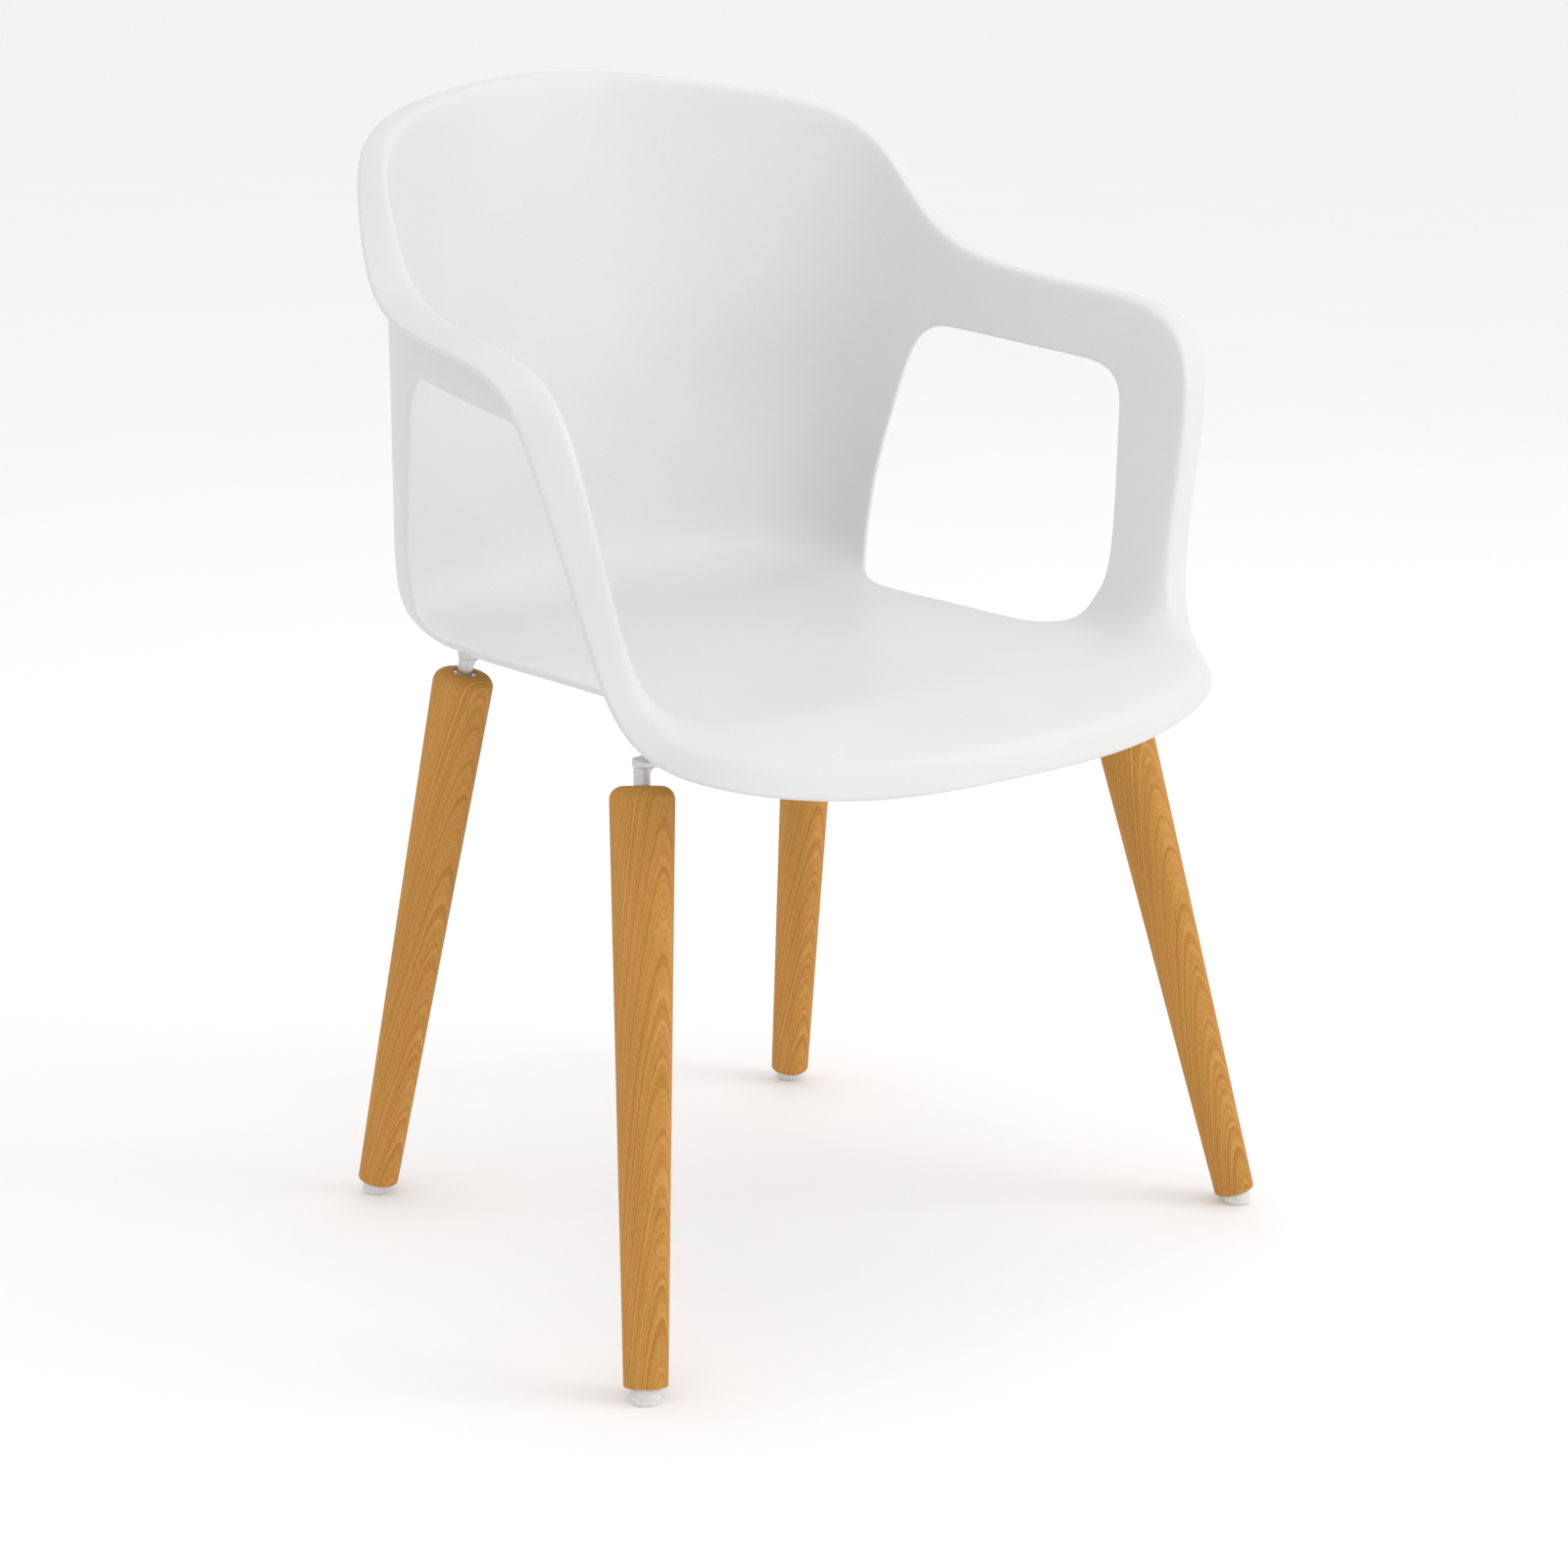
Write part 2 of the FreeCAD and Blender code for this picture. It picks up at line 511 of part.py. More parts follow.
def arm_window():
    """Cutter for the right-hand window, whose sides run down the wall and then turn in along the seat."""
    top = SEAT_HEIGHT + ARM_RISE - WINDOW_HEAD
    low = SEAT_HEIGHT + 26
    outer = ARM_HALF_WIDTH + ARM_FLANGE + 20
    wall_outline = [(WINDOW_TOP_REAR_Y, top + WINDOW_RISE, WINDOW_TOP_ROUND),
                    (WINDOW_TOP_FRONT_Y, top, WINDOW_TOP_ROUND),
                    (WINDOW_LOW_FRONT_Y, low + 20, 80), (WINDOW_LOW_FRONT_Y, low, 0),
                    (WINDOW_LOW_REAR_Y, low, 0), (WINDOW_LOW_REAR_Y - 1, low + 50, 120)]
    inner = SILL_HALF_WIDTH - 40
    wall_wire = rounded_wire(wall_outline, lambda y, z: V(inner, y, z))
    wall_part = Part.Face(wall_wire).extrude(ACROSS * (outer - inner))
    sill_outline = [(SILL_HALF_WIDTH, WINDOW_LOW_FRONT_Y + 2, SILL_FRONT_ROUND),
                    (outer, WINDOW_LOW_FRONT_Y - 3, 0), (outer, WINDOW_LOW_REAR_Y + 7, 0),
                    (SILL_HALF_WIDTH, WINDOW_LOW_REAR_Y + 7, SILL_REAR_ROUND)]
    below = SEAT_HEIGHT - 30
    sill_wire = rounded_wire(sill_outline, lambda x, y: V(x, y, below))
    sill_part = Part.Face(sill_wire).extrude(UP * (low + 20 - below))
    return wall_part.fuse(sill_part)


def boss(face, line, x, y):
    """Moulded boss with four gusset ribs, from the crossbar up into the seat."""
    ceiling = face_height(face, x, y) - WALL + BOSS_GRIP
    radius = BOSS_D / 2
    shape = Part.makeCylinder(radius, ceiling - line.bar_top, V(x, y, line.bar_top))
    for turn in range(4):
        angle = math.radians(45 + 90 * turn)
        way = V(math.cos(angle), math.sin(angle), 0)
        end = V(x, y, 0) + way * (radius + RIB_REACH)
        rib_top = face_height(face, end.x, end.y) - WALL + BOSS_GRIP
        corners = [(0, line.bar_top + RIB_START), (radius, line.bar_top + RIB_START),
                   (radius + RIB_REACH, rib_top - BOSS_GRIP), (radius + RIB_REACH, rib_top), (0, ceiling)]
        half = V(-way.y, way.x, 0) * (RIB_THICKNESS / 2)
        points = [V(x, y, 0) + way * r + UP * z - half for r, z in corners]
        shape = shape.fuse(Part.Face(Part.makePolygon(points + points[:1])).extrude(half * 2))
    return shape


def face_height(face, x, y):
    """Height of the sitter's face above a point under the seat."""
    u, v = face.parameter(V(x, y, SEAT_HEIGHT))
    return face.value(u, v).z


def insert_pocket(line, x, y):
    depth = INSERT_SINK + INSERT_LENGTH + SCREW_TIP_SPACE
    return Part.makeCylinder(INSERT_D / 2, depth, V(x, y, line.bar_top))


def seat_shell():
    """Seat, walls, armrests and backrest in one moulding, with the bosses under the seat."""
    face = smooth_surface(control_net())
    window = arm_window()
    body = shell_body(face).cut([window, mirrored(window)])
    fixings = [(line, x, y) for line in (FRONT, REAR) for x, y in screw_places(line)]
    body = body.fuse([boss(face, *fixing) for fixing in fixings])
    return body.cut([insert_pocket(*fixing) for fixing in fixings]).Solids[0]


# ------------------------------------------------------------------ write the nodes
os.makedirs("parts", exist_ok=True)

save("seat_shell", seat_shell())
for name, line in (("front", FRONT), ("rear", REAR)):
    save(name + "_crossbar", crossbar(line))
    for part, piece in (("leg", leg_wood(line)), ("sleeve", sleeve(line)), ("glide", glide(line))):
        save("_".join((part, name, "right")), piece)
        save("_".join((part, name, "left")), mirrored(piece))

lines = (FRONT, REAR)
save("lock_screws", both_sides([lock_screw(line) for line in lines]))
save("glide_screws", both_sides([glide_screw(line) for line in lines]))
stacks = [screw_stack(line, x, y) for line in lines for x, y in screw_places(line)]
for name, group in zip(("frame_screws", "frame_washers", "spring_washers", "seat_inserts"), zip(*stacks)):
    save(name, Part.makeCompound(list(group)))
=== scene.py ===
import math

import bmesh
import bpy
import numpy as np
from mathutils import Matrix, Vector


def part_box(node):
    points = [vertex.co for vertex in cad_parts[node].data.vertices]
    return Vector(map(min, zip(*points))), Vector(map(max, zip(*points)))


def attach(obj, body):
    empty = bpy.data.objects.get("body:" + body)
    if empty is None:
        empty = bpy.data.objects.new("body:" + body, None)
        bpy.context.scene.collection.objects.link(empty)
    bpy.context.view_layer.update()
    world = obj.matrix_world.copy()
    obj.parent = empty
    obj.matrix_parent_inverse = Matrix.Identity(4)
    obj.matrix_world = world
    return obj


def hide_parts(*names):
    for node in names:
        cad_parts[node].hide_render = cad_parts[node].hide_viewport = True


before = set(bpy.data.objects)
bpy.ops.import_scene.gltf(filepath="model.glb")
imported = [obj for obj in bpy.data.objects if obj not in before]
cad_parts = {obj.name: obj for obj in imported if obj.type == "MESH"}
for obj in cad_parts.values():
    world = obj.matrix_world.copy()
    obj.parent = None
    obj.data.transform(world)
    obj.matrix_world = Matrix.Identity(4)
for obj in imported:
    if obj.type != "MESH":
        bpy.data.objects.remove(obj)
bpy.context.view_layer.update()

# A dining armchair: one moulded plastic seat shell with open arms, two flat steel crossbars, four turned
# beech legs and four plastic glides. The shell, crossbars, legs, glides and glide screws are built here;
# sleeves, other screws, washers and inserts are the fixed frame's own pieces with a finish of their own.
# Named sizes are in millimetres, and MM turns them into metres.

MM = 0.001

# ------------------------------------------------------------------ sizes
WALL = 4.5
EDGE_ROUND = 1.7            # rounding of the shell's cut edges
SEAT_MIDDLE = (0, 6, 421)
# One station per row, from the middle of the front edge round to the middle of the back. A station is the
# foot of the wall, the fold into the flange, the flange's reach past the fold, and the length over which the
# seat turns up into the wall.
STATIONS = [
    ((0, -179, 426), (0, -245, 401), (0, -7.5, -25), 45),
    ((95.7, -179, 426), (128.7, -240, 401), (2, -7.5, -25), 45),
    ((175, -176, 425), (234, -210, 416), (9, -7, -18), 40),
    ((207, -159, 426), (242, -154, 426), (17, 1, -11), 38),
    ((214, -113.9, 425), (252, -142, 495.3), (23, 5, -3), 38),
    ((212, -63.9, 424), (276, -137, 596.5), (31, 11, -2), 38),
    ((203, -14, 422), (280, -112, 654), (32, 12, -5), 40),
    ((203, 50, 421), (262, -8.9, 660), (32, 6, -7), 42),
    ((208, 115, 421), (243, 84, 674), (30, 9, -11), 50),
    ((207, 169, 433), (232, 123, 721.1), (21, 11, -4), 65.3),
    ((160, 189, 429), (219, 157, 775), (13, 14, 0), 75),
    ((83.2, 191, 427), (113.9, 218.4, 792), (3, 16, 0), 80),
    ((0, 191, 427), (0, 240, 803), (0, 18, 1), 80),
]
FOLD_LENGTH = 16.0
SEAT_SHARE = 0.42           # second control point, as a share of the way from the middle to the wall
TURN_RISE = 0.55            # height of the control point before the wall, between the middle and the foot
STATION_COUNT = 24
# Corners of the arm window as (y, z, rounding) from the side and as (x, y, rounding) from above. The side
# outline cuts above SIDE_FROM and the sill outline below SILL_TO.
WINDOW_SIDE = [(104, 619, 31), (-77, 604, 31), (-103, 470, 80), (-103, 450, 0), (132, 450, 0),
               (131, 500, 120)]
WINDOW_SILL = [(190, -101, 50), (332, -106, 0), (332, 139, 0), (190, 139, 45)]
SIDE_FROM = 450.0
SILL_TO = 470.0
# Fineness of the shell's grid. Columns run round the chair and rows from the middle out to the flange.
COLUMNS_PER_STATION = 16
CENTRE_ROWS = 5             # rows inside CENTRE_END, left out of the window's block
CENTRE_END = 0.10
WALL_ROWS = 48
WALL_END = 0.74             # v of the last row before the flange
FLANGE_ROWS = 26
WINDOW_BLOCK = (3.25, 9.5)  # stations between which the grid is left out for a window
WINDOW_CENTRE = (6.4, 0.45)
WINDOW_RINGS = 14
WINDOW_EASING = 12          # how many times the window's outline is averaged

BAR_THICKNESS = 5.0
BAR_WIDTH = 34.0
BAR_END_WIDTH = 11.4
BAR_TAPER = 60.0
BAR_END_ROUND = 5.5
BAR_EDGE = 0.7
BAR_GRID = 2.5              # length of a cell along the bar
BAR_ROWS = 12
HOLE_BLOCK = 10.0           # half the length of the grid left out round a screw hole
SCREW_HOLE_D = 6.6
SIDE_SCREW_X = 92.0
POST_D = 11.0
POST_IN_LEG = 50.0
POST_TIP_ROUND = 1.0
WELD = 6.0
WELD_LEAST = 0.1            # the weld's spread where it has faded out
BOSS_D = 20.0
BOSS_GRIP = 2.5
RIB_THICKNESS = 2.4
RIB_REACH = 9.0
RIB_START = 1.5
INSERT_D = 8.6
POCKET_DEPTH = 7.0
POCKET_CHAMFER = 0.3
BOSS_ROUND = 0.6

LEG_TOP_D = 43.0
LEG_FOOT_D = 29.0
LEG_SHOULDER = 9.0
LEG_FOOT_ROUND = 1.5
SLEEVE_D = 17.0
SLEEVE_DEPTH = 37.0
SLEEVE_CHAMFER = 0.25
POST_BORE_D = 11.2
POST_BORE_DEPTH = 54.0
LOCK_HOLE_D = 6.4
LOCK_DEPTH = 20.0
LOCK_CHAMFER = 0.4
LOCK_BLOCK = 9.0            # length of the grid left out below the set screw's hole
GLIDE_D = 20.0
GLIDE_HEIGHT = 9.0
GLIDE_ROUND = 1.5
GLIDE_EDGE = 0.5
GLIDE_BORE_D = 8.2
GLIDE_BORE_DEPTH = 12.0
STEM_CHAMFER = 0.3
GLIDE_STEM_D = 8.0
GLIDE_SCREW_D = 3.5
GLIDE_SCREW_HOLE_D = 3.7
GLIDE_SCREW_DEPTH = 21.7
GLIDE_SCREW_HEAD_D = 7.0
GLIDE_SCREW_HEAD_HEIGHT = 2.5
GLIDE_SCREW_HEAD_ROUND = 1.0
GLIDE_SCREW_RECESS = 2.2
GLIDE_SCREW_SLOT = 0.8
GLIDE_SCREW_SLOT_DEPTH = 1.0
GLIDE_HEAD_D = 7.2
GLIDE_HEAD_DEPTH = 4.7
RECESS_CHAMFER = 0.25


class LegLine:
    """Centre line of a leg. side is 1 on the right and -1 on the left."""

    def __init__(self, foot, top, bar_top, side):
        mirror = np.array([side, 1, 1])
        self.foot = np.array(foot) * mirror
        self.top = np.array(top) * mirror
        self.up = (self.top - self.foot) / np.linalg.norm(self.top - self.foot)
        self.wood_start = self.foot + self.up * GLIDE_HEIGHT
        self.length = np.linalg.norm(self.top - self.wood_start)
        self.bar_top = bar_top
        self.bar_low = bar_top - BAR_THICKNESS
        self.joint = self.foot + self.up * (self.bar_low / self.up[2])
        back = np.array([0.0, 1, 0])
        self.back = unit(back - self.up * (back @ self.up))
        self.side = np.cross(self.back, self.up)


def unit(vectors):
    """Vectors divided by their own length."""
    return vectors / np.maximum(np.linalg.norm(vectors, axis=-1, keepdims=True), 1e-12)


FRONT_BAR_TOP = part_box("front_crossbar")[1].z / MM
REAR_BAR_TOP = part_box("rear_crossbar")[1].z / MM
FRONT_LEG_GAP = 17.0        # top of the leg below the bar's upper face
REAR_LEG_GAP = 15.0
SIDES = (1, -1)
FRONT = {side: LegLine((281, -213, 0), (218, -126, FRONT_BAR_TOP - FRONT_LEG_GAP), FRONT_BAR_TOP, side)
         for side in SIDES}
REAR = {side: LegLine((202, 198, 0), (164, 138, REAR_BAR_TOP - REAR_LEG_GAP), REAR_BAR_TOP, side)
        for side in SIDES}


# ------------------------------------------------------------------ meshes from grids
class Skin:
    """Faces of one piece, gathered from grids of points in millimetres."""

    def __init__(self):
        self.points = []
        self.faces = []
        self.count = 0

    def grid(self, points, loop=False, flip=False):
        """Quads between neighbours of a (rows, columns, 3) array; loop joins the last column to the first.

        Each quad takes the points (i, j), (i, j + 1), (i + 1, j + 1) and (i + 1, j), and flip turns it over.
        """
        rows, columns = points.shape[:2]
        index = np.arange(rows * columns).reshape(rows, columns) + self.count
        if loop:
            index = np.hstack([index, index[:, :1]])
        quads = np.stack([index[:-1, :-1], index[:-1, 1:], index[1:, 1:], index[1:, :-1]], -1)
        quads = quads.reshape(-1, 4)
        self.faces.append(quads[:, ::-1] if flip else quads)
        self.points.append(points.reshape(-1, 3))
        self.count += rows * columns

    def piece(self, name, material, node, slot, join=0.01, smooth_angle=40.0):
        """One object in metres: doubles closer than join are merged, so seams and poles close."""
        points = np.concatenate(self.points) * MM
        faces = np.concatenate(self.faces)
        mesh = bpy.data.meshes.new(name)
        mesh.vertices.add(len(points))
        mesh.vertices.foreach_set("co", points.astype(np.float32).ravel())
        mesh.loops.add(faces.size)
        mesh.loops.foreach_set("vertex_index", faces.astype(np.int32).ravel())
        mesh.polygons.add(len(faces))
        mesh.polygons.foreach_set("loop_start", np.arange(0, faces.size, 4, dtype=np.int32))
        mesh.update(calc_edges=True)
        work = bmesh.new()
        work.from_mesh(mesh)
        bmesh.ops.remove_doubles(work, verts=work.verts, dist=join * MM)
        bmesh.ops.dissolve_degenerate(work, edges=work.edges, dist=0.2 * join * MM)
        bmesh.ops.recalc_face_normals(work, faces=work.faces)
        work.to_mesh(mesh)
        work.free()
        mesh.polygons.foreach_set("use_smooth", np.ones(len(mesh.polygons), bool))
        mesh.set_sharp_from_angle(angle=math.radians(smooth_angle))
        mesh.materials.append(material)
        thing = bpy.data.objects.new(name, mesh)
        bpy.context.scene.collection.objects.link(thing)
        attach(thing, "root")
        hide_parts(node)
        return thing


def turned(profile, base, axis, start, steps=96):
    """Surface of revolution: each (radius, height) of the profile turned round the axis from base.

    The point at angle a is base + axis * height + (start * cos a + (axis x start) * sin a) * radius.
    """
    angle = np.arange(steps) * 2 * np.pi / steps
    profile = np.asarray(profile, float)
    way = np.cos(angle)[:, None] * start + np.sin(angle)[:, None] * np.cross(axis, start)
    return base + profile[:, 1, None, None] * axis + profile[:, 0, None, None] * way


def fillet(corner, before, after, radius, steps=6):
    """Points of the arc that rounds a corner between two directions.

    The circle's centre lies on the corner's bisector, radius / sin(half the corner's angle) away, and its
    ends lie radius / tan(half the angle) along both sides. Points between them follow the spherical blend
    (sin((1 - s) w) * first + sin(s w) * last) / sin w, with w the angle between the ends.
    """
    corner = np.asarray(corner, float)
    before = unit(np.asarray(before, float))
    after = unit(np.asarray(after, float))
    half = math.acos(np.clip(before @ after, -1, 1)) / 2
    centre = corner + unit(before + after) * (radius / math.sin(half))
    first = corner + before * (radius / math.tan(half)) - centre
    last = corner + after * (radius / math.tan(half)) - centre
    share = np.linspace(0, 1, steps + 1)[:, None]
    swing = math.acos(np.clip(unit(first) @ unit(last), -1, 1))
    blend = np.sin((1 - share) * swing) * first + np.sin(share * swing) * last
    return centre + blend / math.sin(swing)


def rounded(corners, steps=10):
    """Closed outline of (a, b, radius) corners: straight sides with an arc at each corner."""
    points = []
    for index, (a, b, radius) in enumerate(corners):
        here = np.array([a, b], float)
        before = np.array(corners[index - 1][:2]) - here
        after = np.array(corners[(index + 1) % len(corners)][:2]) - here
        points += list(fillet(here, before, after, radius, steps)) if radius else [here]
    return np.array(points)


def inside(points, outline):
    """True where a point lies to the left of every side of a convex outline drawn anticlockwise.

    Left of a side means that the cross product of the side and the way to the point isn't negative.
    """
    sides = np.roll(outline, -1, axis=0) - outline
    offset = points[:, None] - outline
    return (sides[:, 0] * offset[..., 1] - sides[:, 1] * offset[..., 0] >= 0).all(1)


def holed_grid(columns, rows, blocks):
    """Splits a grid of columns and rows into strips that leave out the blocks round the holes.

    blocks holds (first column, last column) pairs, and the low and high row that they share. The strips are
    the rows below the blocks, the rows above them, and the stretches between them.
    """
    spans, low, high = blocks
    strips = [(columns, rows[:low + 1]), (columns, rows[high:])]
    edges = [0] + [index for span in spans for index in span] + [len(columns) - 1]
    for first, last in zip(edges[::2], edges[1::2]):
        if last > first:
            strips.append((columns[first:last + 1], rows[low:high + 1]))
    return [np.stack(np.meshgrid(across, up), -1) for across, up in strips]


def frame_of(columns, rows):
    """The closed loop of grid points round a block, anticlockwise from its lower left corner."""
    return np.concatenate([
        np.stack([columns[:-1], np.full(len(columns) - 1, rows[0])], 1),
        np.stack([np.full(len(rows) - 1, columns[-1]), rows[:-1]], 1),
        np.stack([columns[:0:-1], np.full(len(columns) - 1, rows[-1])], 1),
        np.stack([np.full(len(rows) - 1, columns[0]), rows[:0:-1]], 1)])


def between(inner, outer, steps, power=1.3):
    """Rings from one closed loop of points to another: inner * (1 - s) + outer * s, with s = t ** power.

    t runs evenly from 0 to 1, so a power above 1 draws the rings together near the first loop.
    """
    share = (np.linspace(0, 1, steps + 1) ** power)[:, None, None]
    return inner * (1 - share) + outer * share


# ------------------------------------------------------------------ seat shell
def control_net():
    """24 stations of 9 control points: along the seat, up the wall, over the fold, out to the edge.

    The points of a station lie on straight lines between its own foot, fold and edge: the seat's at a share
    of the way out, the wall's one turn above the foot and one fold length below the fold.
    """
    middle = np.array(SEAT_MIDDLE, float)
    rows = []
    for foot, fold, reach, turn in STATIONS:
        foot, fold, reach = (np.array(item, float) for item in (foot, fold, reach))
        outward = (foot - middle) * (1, 1, 0)
        turning = foot - unit(outward) * turn
        turning[2] = middle[2] + (foot[2] - middle[2]) * TURN_RISE
        wall = fold - foot
        height = np.linalg.norm(wall)
        rise = wall / height
        wall_start = foot + rise * min(turn, 0.45 * height)
        wall_end = fold - rise * min(FOLD_LENGTH, 0.3 * height)
        rows.append([middle, middle + outward * SEAT_SHARE, turning, foot, wall_start, wall_end, fold,
                     fold + reach * 0.45, fold + reach])
    right = np.array(rows)
    return np.concatenate([right, right[-2:0:-1] * (-1, 1, 1)])


NET = control_net()
KNOTS = np.r_[np.zeros(4), np.arange(1, 6) / 6, np.ones(4)]


def around_weights(u):
    """Weights of the stations at u, and their slopes: uniform cubic spline closed round the chair.

    With f the part of u past its whole number, the four stations about it weigh (1 - f)^3,
    3f^3 - 6f^2 + 4, -3f^3 + 3f^2 + 3f + 1 and f^3, each over 6.
    """
    base = np.floor(u).astype(int)
    f = u - base
    weights = np.stack([(1 - f) ** 3, 3 * f ** 3 - 6 * f ** 2 + 4,
                        -3 * f ** 3 + 3 * f ** 2 + 3 * f + 1, f ** 3]) / 6
    slopes = np.stack([-(1 - f) ** 2, 3 * f ** 2 - 4 * f, -3 * f ** 2 + 2 * f + 1, f ** 2]) / 2
    full = np.zeros((2, len(u), len(NET)))
    place = np.arange(len(u))
    for step in range(4):
        full[0, place, (base - 1 + step) % len(NET)] = weights[step]
        full[1, place, (base - 1 + step) % len(NET)] = slopes[step]
    return full


def out_weights(v):
    """Weights of the rings at v, and their slopes: cubic spline clamped at both ends, six equal spans.

    Each degree blends neighbours of the degree below: (v - start) / width of the left one plus
    (end - v) / width of the right one.
    """
    v = np.clip(v, 0, 1)
    basis = np.zeros((len(v), 12))
    basis[np.arange(len(v)), np.clip((v * 6).astype(int), 0, 5) + 3] = 1
    for degree in (1, 2, 3):
        count = basis.shape[1] - 1
        left = KNOTS[degree:degree + count] - KNOTS[:count]
        right = KNOTS[degree + 1:degree + 1 + count] - KNOTS[1:1 + count]
        left = np.where(left > 0, 1 / np.maximum(left, 1e-9), 0)
        right = np.where(right > 0, 1 / np.maximum(right, 1e-9), 0)
        lower = basis
        basis = ((v[:, None] - KNOTS[:count]) * left * lower[:, :-1]
                 + (KNOTS[degree + 1:degree + 1 + count] - v[:, None]) * right * lower[:, 1:])
    return basis, 3 * (lower[:, :-1] * left - lower[:, 1:] * right)


def shell_face(uv):
    """Point, slopes along u and v, and normal towards the sitter, of the surface at each (u, v).

    The point is the sum of the control points times their weight round the chair and their weight outwards.
    The normal is the cross product of the slope along v and the slope along u.
    """
    flat = uv.reshape(-1, 2)
    around, around_slope = around_weights(flat[:, 0])
    out, out_slope = out_weights(flat[:, 1])
    rings = (around @ NET.reshape(len(NET), -1)).reshape(-1, 9, 3)
    rings_slope = (around_slope @ NET.reshape(len(NET), -1)).reshape(-1, 9, 3)
    point = np.einsum("nb,nbc->nc", out, rings)
    along_u = np.einsum("nb,nbc->nc", out, rings_slope)
    along_v = np.einsum("nb,nbc->nc", out_slope, rings)
    normal = np.cross(along_v, along_u)
    normal[flat[:, 1] < 1e-6] = (0, 0, 1)
    shape = uv.shape[:-1] + (3,)
    return tuple(item.reshape(shape) for item in (point, along_u, along_v, unit(normal)))


def shell_layer(uv, depth):
    """The sitter's face moved by depth along its normals, into the wall."""
    point, _, _, normal = shell_face(uv)
    return point - normal * depth


def step_on_face(uv, direction, length):
    """The change of (u, v) that moves a point by length along a direction that lies in the surface.

    Solves direction = along_u * du + along_v * dv by its normal equations.
    """
    _, along_u, along_v, _ = shell_face(uv)
    uu, both, vv = (np.sum(first * second, -1) for first, second in
                    ((along_u, along_u), (along_u, along_v), (along_v, along_v)))
    to_u, to_v = (np.sum(direction * slope, -1) for slope in (along_u, along_v))
    area = uu * vv - both * both
    return np.stack([(vv * to_u - both * to_v) / area, (uu * to_v - both * to_u) / area], -1) * length


def window_loop(frame_loop, centre):
    """Outline of the arm window in (u, v): along each ray from the centre, where the cut ends.

    The cut holds the points whose (y, z) lie in the side outline and those whose (x, y) lie in the sill
    outline. Each ray is halved until the border is found. The loop is then averaged along itself, with
    weights 1, 2, 1 over 4, which eases the corner where the two outlines meet.
    """
    side, sill = rounded(WINDOW_SIDE), rounded(WINDOW_SILL)
    low = np.zeros(len(frame_loop))
    high = np.ones(len(frame_loop))
    for _ in range(24):
        middle = (low + high) / 2
        points = shell_face(centre + (frame_loop - centre) * middle[:, None])[0]
        cut = inside(points[:, 1:], side) & (points[:, 2] > SIDE_FROM)
        cut |= inside(points[:, :2], sill) & (points[:, 2] < SILL_TO)
        low = np.where(cut, middle, low)
        high = np.where(cut, high, middle)
    loop = centre + (frame_loop - centre) * low[:, None]
    for _ in range(WINDOW_EASING):
        loop = (np.roll(loop, 1, axis=0) + 2 * loop + np.roll(loop, -1, axis=0)) / 4
    return loop


def edge_strip(edge, back, way):
    """Rounded edge of the moulding: quarter circle, straight, quarter circle, across the wall's thickness.

    edge is the cut line and back the line EDGE_ROUND behind it, both in (u, v); way points out of the wall.
    At turn a the quarter circle lies EDGE_ROUND * (1 - sin a) behind the cut, EDGE_ROUND * (1 - cos a) deep.
    """
    point, _, _, normal = shell_face(edge)
    turn = np.radians([22.5, 45, 67.5, 90])
    setback = EDGE_ROUND * (1 - np.sin(turn))
    depth = EDGE_ROUND * (1 - np.cos(turn))
    rows = [shell_layer(back, 0)]
    rows += [point - way * s - normal * d for s, d in zip(setback, depth)]
    rows += [point - way * s - normal * (WALL - d) for s, d in zip(setback[::-1], depth[::-1])]
    rows.append(shell_layer(back, WALL))
    return np.array(rows)


def hole_edge(loop, outward):
    """Strip and setback line of a closed cut, which is EDGE_ROUND away from it along the surface.

    way is the cross product of the cut's direction and the normal, turned over where outward is -1.
    """
    point, _, _, normal = shell_face(loop)
    along = unit(np.roll(point, -1, axis=0) - np.roll(point, 1, axis=0))
    way = unit(np.cross(along, normal)) * outward
    back = loop - step_on_face(loop, way, EDGE_ROUND)
    return edge_strip(loop, back, way), back


